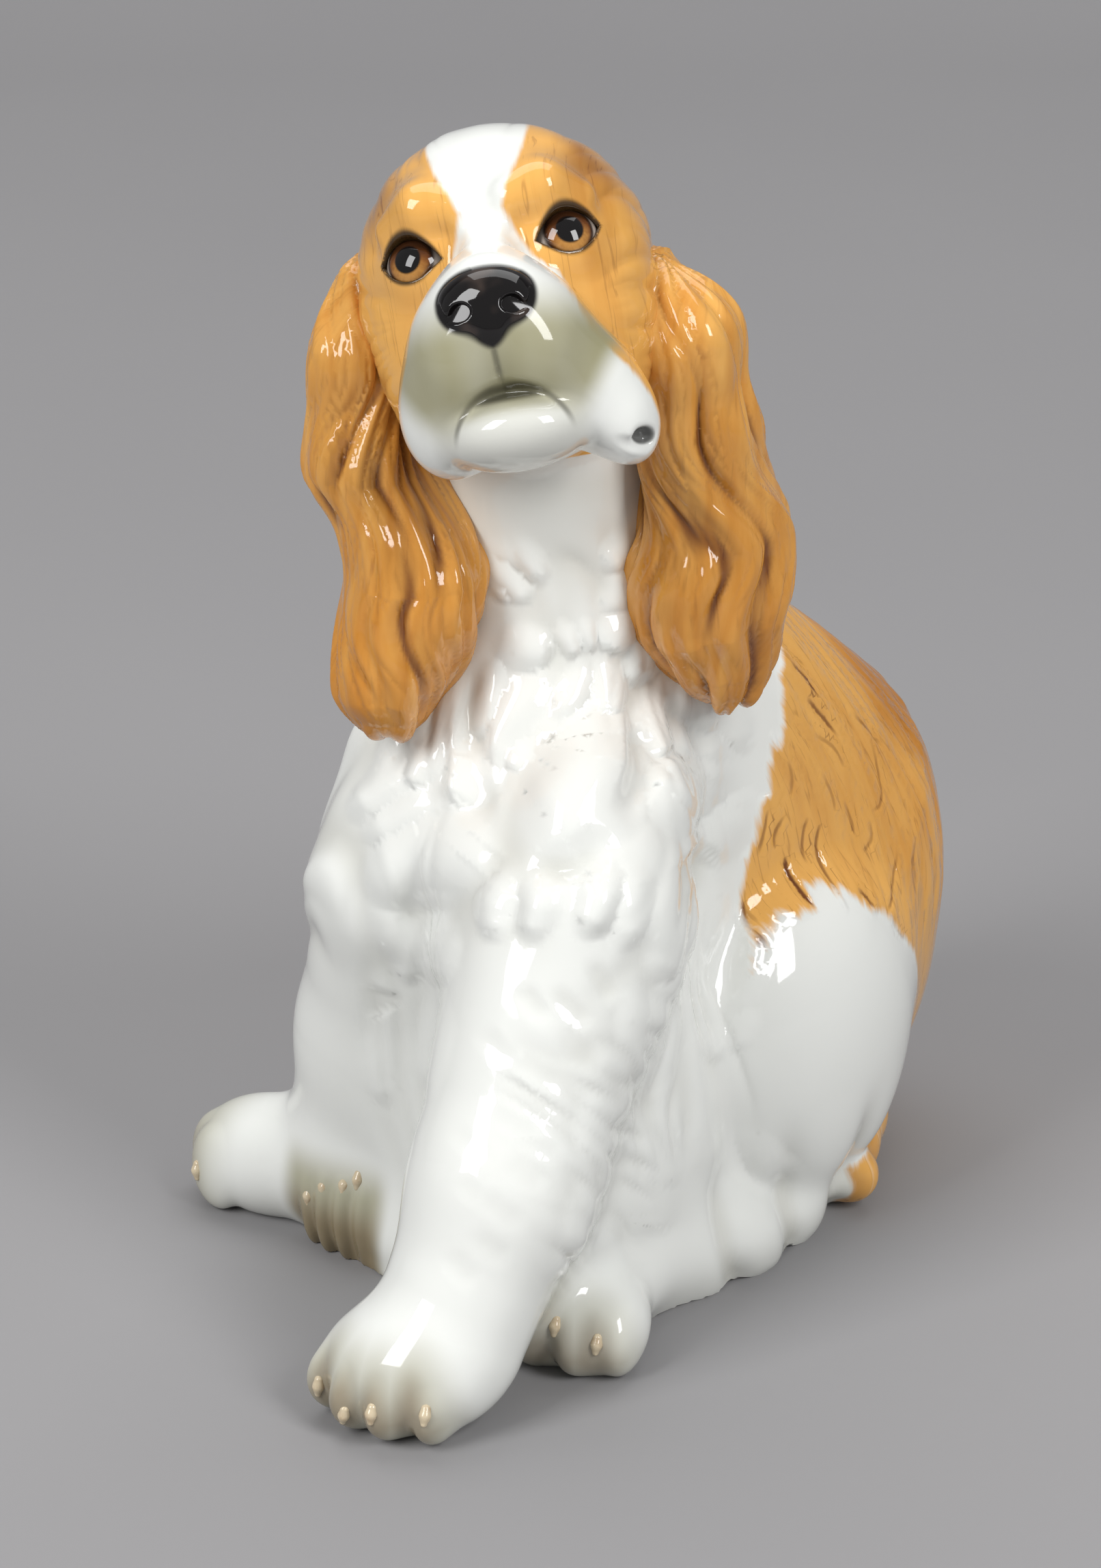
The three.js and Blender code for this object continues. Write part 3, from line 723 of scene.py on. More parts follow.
def body_relief(sizes):
    """The relief of the body, in millimetres, as a function of points."""
    depth = sizes.tuft_depth

    def chest(p):
        around = turned(p, 5, 22, 48) + 5 * wander(p, 19)
        return depth * fur(-p[:, 2], around, [(54, 17, 1.4), (34, 9, 0.6)], 3, 0.06)

    def hip(p):
        flow = flank_flow(p) + 2.5 * wander(p, 23)
        line, strength = flank_hairs(p)
        within = saddle(p)
        hair = fur(-p[:, 2], flow, [(60, 9, 0.9), (40, 4, 0.45), (30, 1.9, 0.1)], 7) * ramp(within, -1, 4)
        return hair - 0.7 * strength * ramp(np.abs(line), 1.3, 0) + 0.8 * ramp(within, -1.2, 1.2)

    def hem(p):
        folds = turned(p, 2, 28, 60) + 3 * wander(p, 19)
        return fur(20 - p[:, 2], folds, [(90, 22, 3.8)], 21, 0.05)

    def feather(p):
        down, across = (p[:, 1] - p[:, 2]) * 0.7, (p[:, 2] + p[:, 1]) * 0.7 + 2 * wander(p, 15)
        return fur(down, across, [(30, 8, 1.4)], 31, 0.05)

    def inner(p):
        return fur(-p[:, 2], p[:, 0] + 2 * wander(p, 21), [(60, 12, 1.2)], 41, 0.08)

    def tangle(p):
        return fur(-p[:, 2], p[:, 1] + 0.6 * p[:, 0] + 4 * wander(p, 13), [(40, 10, 1.8)], 51, 0.05)

    def crown(p):
        q = to_head(p)
        around = np.arctan2(q[:, 0], q[:, 2] + 20) * 30 + wander(q, 14)
        return fur(q[:, 1] - 0.5 * q[:, 2], around, [(44, 9, 0.9), (26, 4, 0.3)], 61)

    def relief(p):
        x, y, z = p.T
        q = to_head(p)
        below_head = ramp(q[:, 2], -50, -62) * ramp(z, 236, 224)
        behind_leg = ramp(x, 40, 48) * ramp(y, -84, -66) * ramp(y, -20, -36)
        by_knee = ramp(x, 34, 42) * ramp(y, -38, -26) * ramp(y, 14, -2)
        hairy = ramp(np.abs(q[:, 0]) + 0.35 * q[:, 2], 12, 24) * ramp(q[:, 1], -27, -16) * ramp(z, 212, 222)
        areas = (
            (ramp(y, 24, 2) * below_head * ramp(z, 70, 96) * ramp(-y - z * 0.55, 16, -12), chest),
            (ramp(z, 56, 80) * ramp(y, 6, 22) * below_head, hip),
            (ramp(z, 46, 14) * ramp(y, -18, 4) * ramp(y, 76, 62) * ramp(z, -8, 4), hem),
            (behind_leg * ramp(z, 20, 32) * ramp(z, 104, 84), feather),
            (ramp(np.abs(x + 2), 22, 10) * ramp(y, -10, -24) * ramp(z, 98, 86) * ramp(z, 4, 18), inner),
            (by_knee * ramp(z, 36, 50) * ramp(z, 108, 94), tangle),
            (hairy * ramp(q[:, 2], -46, -36), crown),
            (below_head * ramp(z, 3, 9), placed_tufts),
        )
        return sum(masked(mask, pattern, p) for mask, pattern in areas)

    return relief


def ear_relief(sizes, line, salt):
    """The relief of an ear, as a function of points."""
    stops = np.array(line, float)
    order = np.argsort(stops[:, 2])

    def relief(p):
        z = p[:, 2]
        cx, cy = [np.interp(z, stops[order, 2], stops[order, i]) for i in (0, 1)]
        around = np.arctan2(p[:, 0] - cx, cy - p[:, 1]) * EAR_TURN
        around = around + 5 * np.sin(z / 15 + salt) + 1.6 * np.sin(z / 6 + 2 * salt)
        hair = fur(-z, around, [(66, 12, 1), (40, 5.5, 0.5), (24, 2.4, 0.16)], salt)
        return sizes.lock_depth * hair * ramp(z, 266, 246)

    return relief


# Shader maths


class Paint:
    """A socket that can be added, multiplied and compared as a number."""

    def __init__(self, tree, socket):
        self.tree, self.socket = tree, socket

    def node(self, kind, settings=None, inputs=None, output=0):
        """Adds a node, sets its settings and then its sockets."""
        made = self.tree.nodes.new(kind)
        for name, value in (settings or {}).items():
            setattr(made, name, value)
        for name, value in (inputs or {}).items():
            if isinstance(value, Paint):
                self.tree.links.new(value.socket, made.inputs[name])
            else:
                made.inputs[name].default_value = value
        return Paint(self.tree, made.outputs[output])

    def maths(self, operation, *values, clamp=False):
        """One step of arithmetic, with its result kept from 0 to 1 if clamp is set."""
        settings = {"operation": operation, "use_clamp": clamp}
        return self.node("ShaderNodeMath", settings, dict(enumerate(values)))

    def __add__(self, other):
        return self.maths("ADD", self, other)

    __radd__ = __add__

    def __sub__(self, other):
        return self.maths("SUBTRACT", self, other)

    def __mul__(self, other):
        return self.maths("MULTIPLY", self, other)

    def limits(self):
        return self.maths("ADD", self, 0.0, clamp=True)

    def size(self):
        return self.maths("ABSOLUTE", self)

    def rise(self, low, high):
        """0 below low, 1 above high and a smooth rise between."""
        return self.node(
            "ShaderNodeMapRange",
            {"interpolation_type": "SMOOTHSTEP"},
            {"Value": self, "From Min": low, "From Max": high},
        )


class Glaze:
    """A glazed material whose colour is built up in coats of paint."""

    def __init__(self, name, roughness=0.07):
        self.material = bpy.data.materials.new(name)
        self.material.use_nodes = True
        self.tree = self.material.node_tree
        self.tree.nodes.clear()
        self.root = Paint(self.tree, None)
        self.shader = self.tree.nodes.new("ShaderNodeBsdfPrincipled")
        self.shader.inputs["Roughness"].default_value = roughness
        self.shader.inputs["IOR"].default_value = 1.52
        out = self.tree.nodes.new("ShaderNodeOutputMaterial")
        self.tree.links.new(self.shader.outputs[0], out.inputs[0])

    def attribute(self, name):
        return self.root.node("ShaderNodeAttribute", {"attribute_name": name}, output=2)

    def noise(self, vector, scale, detail=3.0, distortion=0.0):
        inputs = {"Vector": vector, "Scale": scale, "Detail": detail, "Distortion": distortion}
        return self.root.node("ShaderNodeTexNoise", None, inputs)

    def place(self, x, y, z):
        return self.root.node("ShaderNodeCombineXYZ", None, {"X": x, "Y": y, "Z": z})

    def over(self, below, colour, cover):
        """A coat of colour laid over what is below it."""
        inputs = {0: cover}
        for socket, value in ((6, below), (7, colour)):
            inputs[socket] = value if isinstance(value, Paint) else (*value, 1)
        return self.root.node("ShaderNodeMix", {"data_type": "RGBA"}, inputs, output=2)

    def finish(self, colour, bump=None):
        """Joins the colour and a very fine bump to the shader, and hands over the material."""
        self.tree.links.new(colour.socket, self.shader.inputs["Base Color"])
        if bump:
            inputs = {"Height": bump, "Strength": 0.05, "Distance": 0.0001}
            raised = self.root.node("ShaderNodeBump", None, inputs)
            self.tree.links.new(raised.socket, self.shader.inputs["Normal"])
        return self.material


def body_glaze(colours):
    """White glaze with tan patches, a grey muzzle, grey paws and painted shade in the hollows, under the chin
    and by the floor, from the castings' painted attributes.
    """
    g = Glaze("hand_painted_glaze")
    across, down = g.attribute("across"), g.attribute("down")
    hair = g.place(across * 0.32, down * 0.03, g.attribute("third") * 0.05)
    broad = g.noise(hair, 1.0, 2.0, 0.5)
    fine = g.noise(hair, 3.1, 3.0, 0.3)
    wash = g.noise(g.place(across * 0.05, down * 0.02, 0.0), 1.0, 2.0)
    fray = g.attribute("fray")
    patch = g.attribute("patch")
    edge = patch + ((broad - 0.5) * 2 + (fine - 0.5)) * fray
    cover = edge.rise(-0.6, fray * 0.5 + 0.6)
    groove = g.attribute("groove")
    inside = (patch * 0.014 + (wash - 0.5) * 1.3 + (broad - 0.5) * 0.6).rise(0.0, 1.0)
    golden = g.over(colours.golden, colours.tan, inside)
    hair = (g.attribute("line") + (broad - 0.5) * 0.6).size().rise(0.75, 0.15) * g.attribute("strength")
    streak = (broad - 0.5).size().rise(0.035, 0.004) * fine.rise(0.45, 0.6) * 0.3
    # The tan is darkened with the stroke colour in the grooves: partly brushwork, partly painted shade in the
    # hollows
    dark = hair + streak + groove * 0.45 + g.attribute("mauve") * 0.6
    golden = g.over(golden, colours.stroke, dark.limits())
    # Painted shade on the white: warm grey laid into the relief's hollows and wherever the shade attribute
    # asks for it
    white = g.over(colours.white, colours.shade, (groove * 0.45 + g.attribute("shade")).limits())
    colour = g.over(white, golden, cover)
    colour = g.over(colour, colours.muzzle, (g.attribute("grey") * (0.7 + wash * 0.6)).limits())
    colour = g.over(colour, colours.umber, (g.attribute("umber") * (0.5 + wash)).limits())
    colour = g.over(colour, colours.black, g.attribute("ink").limits())
    return g.finish(colour)


def ear_glaze(colours):
    """Tan glaze with dark strokes and painted shade in the grooves between the locks."""
    g = Glaze("ear_glaze")
    across, down = g.attribute("across"), g.attribute("down")
    hair = g.place(across * 0.3, down * 0.03, 0.0)
    broad = g.noise(hair, 1.0, 3.0, 0.5)
    fine = g.noise(hair, 3.3, 3.0, 0.3)
    depth = (g.attribute("patch") + (broad - 0.5) * 1.6).limits()
    colour = g.over(colours.golden, colours.tan, depth)
    # The grooves between the locks are darkened with the stroke colour: partly dark brushwork, partly painted
    # shade
    dark = (fine.rise(0.55, 0.75) * 0.25 + g.attribute("groove") * 0.95).limits()
    return g.finish(g.over(colour, colours.stroke, dark))


def eye_glaze(colours, sizes):
    """Amber iris, black pupil and rim, and the upper lid's painted shadow over the top, painted from the
    eyeball's own round places.
    """
    g = Glaze("eye_glaze", 0.03)
    x, y = g.attribute("across"), g.attribute("down")
    out = g.root.maths("SQRT", x * x + y * y)
    angle = g.root.maths("ARCTAN2", y, x)
    rays = g.noise(g.place(angle * 4.0, out * 0.5, 0.0), 1.6, 4.0)
    iris, pupil = sizes.iris_radius, sizes.pupil_radius
    colour = g.over((0.50, 0.42, 0.36), colours.amber, out.rise(iris + 0.3, iris - 0.2))
    # Painted light and shade in the iris: its golden inner ring fades towards the top and is kept to the
    # lower half, under the upper lid's painted shadow
    inner = (out.rise(iris, pupil) * 0.5 + (rays - 0.5) * 0.9 - y * 0.16).limits()
    colour = g.over(colour, colours.golden, inner * out.rise(iris, iris - 0.8) * y.rise(2.0, -2.5) * 0.5)
    # Painted shadow of the upper lid: black laid over the top of the eyeball
    colour = g.over(colour, colours.black, y.rise(-1.0, 3.0) * 0.8)
    ring = out.rise(iris - 1.0, iris) * out.rise(iris + 0.7, iris)
    colour = g.over(colour, colours.black, ring.limits() * 0.85)
    colour = g.over(colour, colours.black, out.rise(pupil + 0.4, pupil - 0.2))
    return g.finish(colour)


def nose_glaze(colours):
    """Black glaze with the faintest brown bloom and a fine pebble."""
    g = Glaze("nose_glaze", 0.04)
    places = g.root.node("ShaderNodeTexCoord", output=3)
    pebble = g.noise(places, 900.0, 2.0)
    bloom = g.noise(places, 120.0, 2.0)
    return g.finish(g.over(colours.black, (0.05, 0.035, 0.028), bloom.rise(0.5, 0.75)), pebble)


def claw_glaze(colours):
    """Cream claws with streaks of darker brown."""
    g = Glaze("claw_glaze", 0.06)
    places = g.root.node("ShaderNodeTexCoord", output=3)
    streak = g.noise(places, 400.0, 3.0)
    return g.finish(g.over(colours.claw, (0.42, 0.28, 0.16), streak.rise(0.45, 0.8) * 0.6))


# Meshes


def mesh_piece(name, spots, squares, normals, attributes, material):
    """A new object from spots in millimetres. A square whose last corner is given twice is a triangle."""
    mesh = bpy.data.meshes.new(name)
    mesh.vertices.add(len(spots))
    mesh.vertices.foreach_set("co", ((spots - ORIGIN_AT) * MM).astype(np.float32).ravel())
    sides = np.where(squares[:, 2] == squares[:, 3], 3, 4)
    corners = squares[np.arange(4) < sides[:, None]]
    mesh.loops.add(len(corners))
    mesh.loops.foreach_set("vertex_index", corners.astype(np.int32))
    mesh.polygons.add(len(squares))
    mesh.polygons.foreach_set("loop_start", (np.cumsum(sides) - sides).astype(np.int32))
    mesh.update(calc_edges=True)
    mesh.validate()
    mesh.polygons.foreach_set("use_smooth", np.ones(len(mesh.polygons), bool))
    mesh.normals_split_custom_set_from_vertices(normals.astype(np.float32))
    for key, values in attributes.items():
        layer = mesh.attributes.new(key, "FLOAT", "POINT")
        layer.data.foreach_set("value", values.astype(np.float32))
    mesh.materials.append(material)
    piece = bpy.data.objects.new(name, mesh)
    bpy.context.scene.collection.objects.link(piece)
    return piece


def used_part(squares):
    """The numbers of the spots that the squares use, and the squares renumbered."""
    used, place = np.unique(squares, return_inverse=True)
    return used, place.reshape(squares.shape)


def beyond(p, at, way):
    """How far points lie beyond a plane."""
    way = np.array(way, float)
    return (p - np.array(at)) @ (way / np.linalg.norm(way))


# Each casting lies beyond all of its planes: a place on the plane and the way into the casting
SEAMS = [
    ("left_hind_foot", [
        ([50, -18, 12], [0, -1, 0]), ([30, -40, 20], [1, 0, 0]), ([40, -40, 32], [0, -0.2, -1]),
        ([45, -62, 10], [0, 1, 0]),
    ]),
    ("right_hind_foot", [
        ([-34, -19, 12], [0, -1, 0]), ([-34, -20, 29], [0, -0.1, -1]), ([-47, -20, 0], [1, 0, 0]),
        ([-13, -20, 0], [-1, 0, 0]),
    ]),
    ("left_foreleg", [
        ([36, -46, 88], [0, -0.55, -0.84]), ([12, -60, 50], [1, 0, 0]), ([45, -46, 10], [0, -1, 0.25]),
    ]),
    ("right_foreleg", [
        ([-30, -30, 84], [-0.3, -0.1, -0.95]), ([-16, -30, 50], [-1, 0, 0.1]), ([-40, 2, 40], [0, -1, 0]),
    ]),
    ("tail", [([0, 104, 14], [0.7, 0.72, 0]), ([30, 90, 29], [0, 0, -1])]),
    ("head", [([6, -8, 200], [0.05, -0.2, 1])]),
]


def casting_of(places):
    """Which casting each place belongs to: the first in the list that claims it, or else the torso."""
    names = np.full(len(places), "torso", dtype="U16")
    for name, seams in reversed(SEAMS):
        within = np.all([beyond(places, at, way) > 0 for at, way in seams], axis=0)
        names[within] = name
    return names


def head_paint(p):
    """Tan patches, grey muzzle, ink lines, soft shading and mauve hair of the head."""
    q = to_head(p)
    x, y, z = q.T
    out = np.abs(x)
    up = z - 0.45 * (y + 30)
    blaze = along(
        up, (-14, 0), (-6, 13.4), (-1.7, 9), (3, 6.8), (5, 6), (11, 4.6), (16, 6), (21, 10), (28, 13.5),
        (40, 14), (60, 9), (75, -6))
    muzzle_edge = along(
        z, (-60, 34), (-45, 32), (-38.6, 29.8), (-31.7, 26), (-28, 23), (-24, 19.8), (-16, 17.4), (-10, 15.5),
        (-5.8, 13.4), (-1.7, 6), (2, 0))
    forward = ramp(y, -6, -22)
    patch = np.minimum(out - blaze, (out - muzzle_edge) * forward + 12 * (1 - forward))
    patch = np.minimum(patch, z + 42 + 3 * np.maximum(y + 2, 0) * ramp(out, 26, 30))
    rim, above, _ = eye_opening(q)
    ink = ramp(rim, 1.15 + 0.35 * ramp(above, 0, 3), 0.4) * 0.92
    mouth = egg(q, MOUTH_AT, MOUTH_RADII)
    lip = 0.75 * ramp(mouth, 0.2, -1.0) * ramp(z, -37.5, -35.5) * ramp(out, 14, 10)
    lip = np.maximum(lip, 0.55 * ramp(np.abs(mouth), 1.1, 0.1) * ramp(y, -40, -46) * ramp(z, -45, -40))
    cleft = 0.5 * ramp(out, 1.1, 0.2) * ramp(z, -24, -27) * ramp(z, -35, -33) * ramp(y, -50, -54)
    pit = 0.93 * ramp(egg(q, LEFT_PIT, PIT_RADII), 0.7, -0.2)
    ink = np.maximum.reduce([ink, lip, cleft, pit, ramp(nose_pad(q), 0.8, 0.0)])
    grey = ramp(y, -26, -38) * ramp(z, -10, -25) * ramp(z, -46, -34)
    grey = grey * ramp(out - 0.6 * (z + 30), 27, 20) * 0.9
    grey = grey * (1 - ramp(mouth, 0.3, -1.2) * ramp(z, -38, -42))
    # Painted shade: grey round the lower lip below the mouth and under the chin
    shade = 0.3 * ramp(mouth, 2.5, 0) * ramp(z, -48, -42) * ramp(y, -38, -48)
    shade = np.maximum(shade, 0.45 * ramp(y, -28, -38) * ramp(z, -33, -40) * ramp(out, 19, 13))
    mauve = ramp(patch, 6, 20) * ramp(z, 6, 22)
    return {"patch": patch, "grey": grey, "ink": ink, "shade": shade, "mauve": mauve, "umber": 0}


def body_paint(p):
    """Tan saddle, tail and toe shading of the body, and painted shade low by the floor and on the neck under
    the chin.
    """
    x, y, z = p.T
    patch = saddle(p)
    on_tail = -(tail(p) - 0.9)
    patch = np.maximum(patch, np.minimum(on_tail * 1.5, y - 50))
    grey, umber = np.zeros(len(p)), np.zeros(len(p))
    # Painted shade: darker low by the floor, and on the front of the neck under the chin
    shade = np.maximum(0.2 * ramp(z, 14, 2), 0.42 * ramp(z, 180, 212) * ramp(y, 10, -20))
    for toes, tone in ((LEFT_TOES, 0.75), (LEFT_HIND_TOES, 0.55)):
        for cx, cy, _ in toes:
            tip = np.hypot(x - cx, y - cy + 11) + 0.4 * np.abs(z - 7)
            grey = np.maximum(grey, 0.75 * tone * ramp(tip, 19, 6))
            umber = np.maximum(umber, tone * ramp(tip, 10, 2))
    for cx, cy in RIGHT_HIND_TOES:
        tip = np.hypot(x - cx, y - cy + 3)
        low = ramp(tip, 10, 3) * ramp(z, 30, 18) * ramp(y, -20, -30)
        grey, umber = np.maximum(grey, 0.8 * low), np.maximum(umber, 0.75 * low * ramp(z, 20, 8))
    grey = np.maximum(grey, 0.6 * ramp(x, -62, -80) * ramp(y, 4, -4))
    umber = np.maximum(umber, 0.45 * ramp(x, -71, -83) * ramp(z, 24, 12))
    mauve = ramp(patch, 36, 60) * 0.35
    return {"patch": patch, "grey": grey, "ink": 0, "shade": shade, "mauve": mauve, "umber": umber}


# The surface is made finer before this place of the head, and on paws below this height
BACK_OF_HEAD, PAW_TOP = 12, 32


class PUPPY_OT_castings(bpy.types.Operator):
    """Model the torso, head, legs, feet and tail as one surface, cut at the seams of the castings"""

    bl_idname = "puppy.castings"
    bl_label = "Castings"

    def execute(self, context):
        sizes, colours = context.scene.puppy_sizes, context.scene.puppy_glazes
        eye_radius = sizes.eye_radius

        def form(p):
            return figure(p, eye_radius)

        spots, squares = skin(form, [-90, -122, -4], [74, 134, 290], sizes.body_step)
        centres = spots[squares].mean(1)
        small = (casting_of(centres) == "head") & (to_head(centres)[:, 1] < BACK_OF_HEAD)
        small |= (centres[:, 2] < PAW_TOP) & ((centres[:, 1] < -24) | (centres[:, 0] < -52))
        spots, squares = split(spots, squares, small)
        centres = spots[squares].mean(1)
        q = to_head(centres)
        rim, _, from_eye = eye_opening(q)
        features = (rim < 3.5) & (from_eye < 13) | (nose_pad(q) < 2) | (egg(q, LEFT_PIT, [6, 8, 6]) < 0)
        by_mouth = (np.abs(egg(q, MOUTH_AT, MOUTH_RADII)) < 2.2) & (q[:, 1] < -38)
        features |= by_mouth & (casting_of(centres) == "head")
        spots, squares = split(spots, squares, features)
        spots = slide(form, spots, 2)
        relief = body_relief(sizes)
        raised, normals = sculpt(form, relief, spots)
        raised[:, 2] = np.maximum(raised[:, 2], 0)
        height = relief(spots)
        on_head = ramp(to_head(spots)[:, 2], -60, -50) * ramp(spots[:, 2], 205, 215)
        head, body = head_paint(spots), body_paint(spots)
        attributes = {key: head[key] * on_head + body[key] * (1 - on_head) for key in head}
        attributes["across"] = flank_flow(spots) * (1 - on_head) + to_head(spots)[:, 0] * 1.2 * on_head
        attributes["down"] = -spots[:, 2] * (1 - on_head) + to_head(spots)[:, 1] * on_head
        attributes["third"] = spots[:, 0]
        # How deep a spot lies in the relief's hollows: the glaze paints shade there
        attributes["groove"] = ramp(height, 0.2, -2.2)
        attributes["fray"] = 0.9 + 0.9 * (1 - on_head)
        attributes["line"], attributes["strength"] = flank_hairs(spots)
        attributes["strength"] *= 1 - on_head
        material = body_glaze(colours)
        names = casting_of(spots[squares].mean(1))
        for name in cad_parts:
            if not (names == name).any():
                continue
            used, part = used_part(squares[names == name])
            chosen = {key: values[used] for key, values in attributes.items()}
            piece = mesh_piece("glazed_" + name, raised[used], part, normals[used], chosen, material)
            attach(piece, "root")
            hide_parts(name)
        return {"FINISHED"}


class PUPPY_OT_ears(bpy.types.Operator):
    """Model the two hanging ears with their wavy locks"""

    bl_idname = "puppy.ears"
    bl_label = "Ears"

    def execute(self, context):
        sizes, colours = context.scene.puppy_sizes, context.scene.puppy_glazes
        material = ear_glaze(colours)
        for name, line, salt in (("left_ear", LEFT_EAR, 5.0), ("right_ear", RIGHT_EAR, 8.0)):
            stops = np.array(line)
            low = (stops[:, :3].min(0) - EAR_MARGIN).tolist()
            high = (stops[:, :3].max(0) + EAR_MARGIN).tolist()

            def form(p, line=line):
                return ear(p, line)

            spots, squares = skin(form, low, high, sizes.ear_step)
            relief = ear_relief(sizes, line, salt)
            raised, normals = sculpt(form, relief, spots)
            height = relief(spots)
            centre = stops[:, :2].mean(0)
            # groove: how deep a spot lies between the locks, which the glaze darkens as brushwork and painted
            # shade
            attributes = {
                "groove": ramp(height / sizes.lock_depth, -0.26, -0.66),
                "patch": along(spots[:, 2], (140, 1.0), (170, 0.75), (200, 0.55), (250, 0.35)),
                "across": np.arctan2(spots[:, 0] - centre[0], -(spots[:, 1] - centre[1])) * EAR_TURN,
                "down": -spots[:, 2],
            }
            piece = mesh_piece("glazed_" + name, raised, squares, normals, attributes, material)
            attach(piece, "root")
            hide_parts(name)
        return {"FINISHED"}


def globe(centre, radius, ahead, across, above, rings=40, spokes=64):
    """The front of a ball that looks ahead: spots, squares, normals and places across and up its face."""
    t = np.linspace(0.001, pi * 0.62, rings)
    a = np.linspace(0, 2 * pi, spokes, endpoint=False)
    ring, spoke = np.meshgrid(t, a, indexing="ij")
    ways = (np.cos(ring)[..., None] * ahead + (np.sin(ring) * np.cos(spoke))[..., None] * across
            + (np.sin(ring) * np.sin(spoke))[..., None] * above).reshape(-1, 3)
    i, j = np.meshgrid(np.arange(rings - 1), np.arange(spokes), indexing="ij")
    n = (j + 1) % spokes
    squares = [i * spokes + j, (i + 1) * spokes + j, (i + 1) * spokes + n, i * spokes + n]
    squares = np.stack(squares, -1).reshape(-1, 4)
    return centre + ways * radius, squares, ways, (ways @ across) * radius, (ways @ above) * radius


class PUPPY_OT_eyes(bpy.types.Operator):
    """Set the glossy amber eyes behind their lids"""

    bl_idname = "puppy.eyes"
    bl_label = "Eyes"

    def execute(self, context):
        sizes, colours = context.scene.puppy_sizes, context.scene.puppy_glazes
        material = eye_glaze(colours, sizes)
        for name, side in (("left_eye", 1), ("right_eye", -1)):
            flip = np.array([side, 1, 1])
            ahead, across, above = [(v * flip) @ HEAD_TURN.T for v in (EYE_AHEAD, EYE_ACROSS, EYE_ABOVE)]
            centre = from_head((EYE_AT + EYE_SET_OUT * EYE_AHEAD) * flip)
            spots, squares, normals, x, y = globe(centre, sizes.eye_radius, ahead, across, above)
            if np.dot(np.cross(across, above), ahead) < 0:
                squares = squares[:, ::-1]
            piece = mesh_piece(name, spots, squares, normals, {"across": x, "down": y}, material)
            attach(piece, "root")
        return {"FINISHED"}


class PUPPY_OT_nose(bpy.types.Operator):
    """Model the glossy black nose with its curled nostrils"""

    bl_idname = "puppy.nose"
    bl_label = "Nose"

    def execute(self, context):
        sizes, colours = context.scene.puppy_sizes, context.scene.puppy_glazes
        spots, squares = skin(nose, [-14, -66, -30], [14, -44, -5], sizes.fine_step)
        normals = unit(slope(nose, spots)[1]) @ HEAD_TURN.T
        piece = mesh_piece("nose_leather", from_head(spots), squares, normals, {}, nose_glaze(colours))
        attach(piece, "root")
        return {"FINISHED"}


# Where the claws sit
CLAWS = {
    "left_foreleg": [(13.9, -106, 8.9), (24.4, -110.3, 6.7), (32.9, -111.4, 10.2), (44.6, -106.6, 11.4)],
    "left_hind_foot": [(47.9, -60.5, 14.9), (57.3, -57.1, 11.5)],
    "right_hind_foot": [
        (-40.3, -39.1, 14.3), (-35.2, -39.6, 18.5), (-29.2, -39.2, 20.6), (-25.5, -38.6, 22.7)],
    "right_foreleg": [(-75.8, -38.4, 10.9)],
}


class PUPPY_OT_claws(bpy.types.Operator):
    """Set a curved claw at each listed place at the ends of the toes"""

    bl_idname = "puppy.claws"
    bl_label = "Claws"

    def execute(self, context):
        material = claw_glaze(context.scene.puppy_glazes)
        eye_radius = context.scene.puppy_sizes.eye_radius
        for name, places in CLAWS.items():
            parts = []
            for place in np.array(places, float):
                _, out = slope(lambda p: figure(p, eye_radius), place[None])
                out = out[0] / np.linalg.norm(out[0])
                down = np.array([0, -0.25, -1]) - out * np.dot([0, -0.25, -1], out)
                down /= np.linalg.norm(down)
                stops = [[*(place - 1.6 * down - 0.6 * out), 1.15], [*(place - 0.2 * out), 1.25],
                         [*(place + 1.9 * down - 0.2 * out), 0.8]]

                def form(p, stops=stops):
                    return strand(p, 0.8, *stops)

                spots, squares = skin(form, (place - 6).tolist(), (place + 6).tolist(), 0.45)
                parts.append((spots, squares, unit(slope(form, spots)[1])))
            starts = np.cumsum([0] + [len(s) for s, _, _ in parts[:-1]])
            spots = np.concatenate([s for s, _, _ in parts])
            squares = np.concatenate([q + start for (_, q, _), start in zip(parts, starts)])
            normals = np.concatenate([n for _, _, n in parts])
            piece = mesh_piece("claws_" + name, spots, squares, normals, {}, material)
            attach(piece, "root")
        return {"FINISHED"}


# Stage

# The camera's sensor in millimetres, its distance in metres and the place it looks at, with the forms' places
SENSOR, CAMERA_DISTANCE, AIMED_AT = 36, 1.2, Vector((3, 2, 119))

# The paper in metres: how far before the dog it starts, how far behind it bends up, the bend's radius and
# pieces, how high it goes and half its width
PAPER_FRONT, PAPER_BEND, BEND_RADIUS, BEND_PIECES, PAPER_TOP, PAPER_HALF = 3.0, 1.2, 0.8, 12, 3.5, 4.0


def softbox(name, place, target, size, power):
    """A rectangular studio light aimed at a target."""
    light = bpy.data.lights.new(name, "AREA")
    light.shape = "RECTANGLE"
    light.size, light.size_y = size
    light.energy = power
    lamp = bpy.data.objects.new(name, light)
    lamp.location = place
    lamp.rotation_euler = (Vector(target) - Vector(place)).to_track_quat("-Z", "Y").to_euler()
    bpy.context.scene.collection.objects.link(lamp)


def floor_material():
    """Matt grey studio paper with a very faint mottle."""
    g = Glaze("studio_paper", 0.75)
    places = g.root.node("ShaderNodeTexCoord", output=3)
    mottle = g.noise(places, 3.0, 2.0)
    return g.finish(g.over((0.262, 0.257, 0.262), (0.288, 0.283, 0.288), mottle))


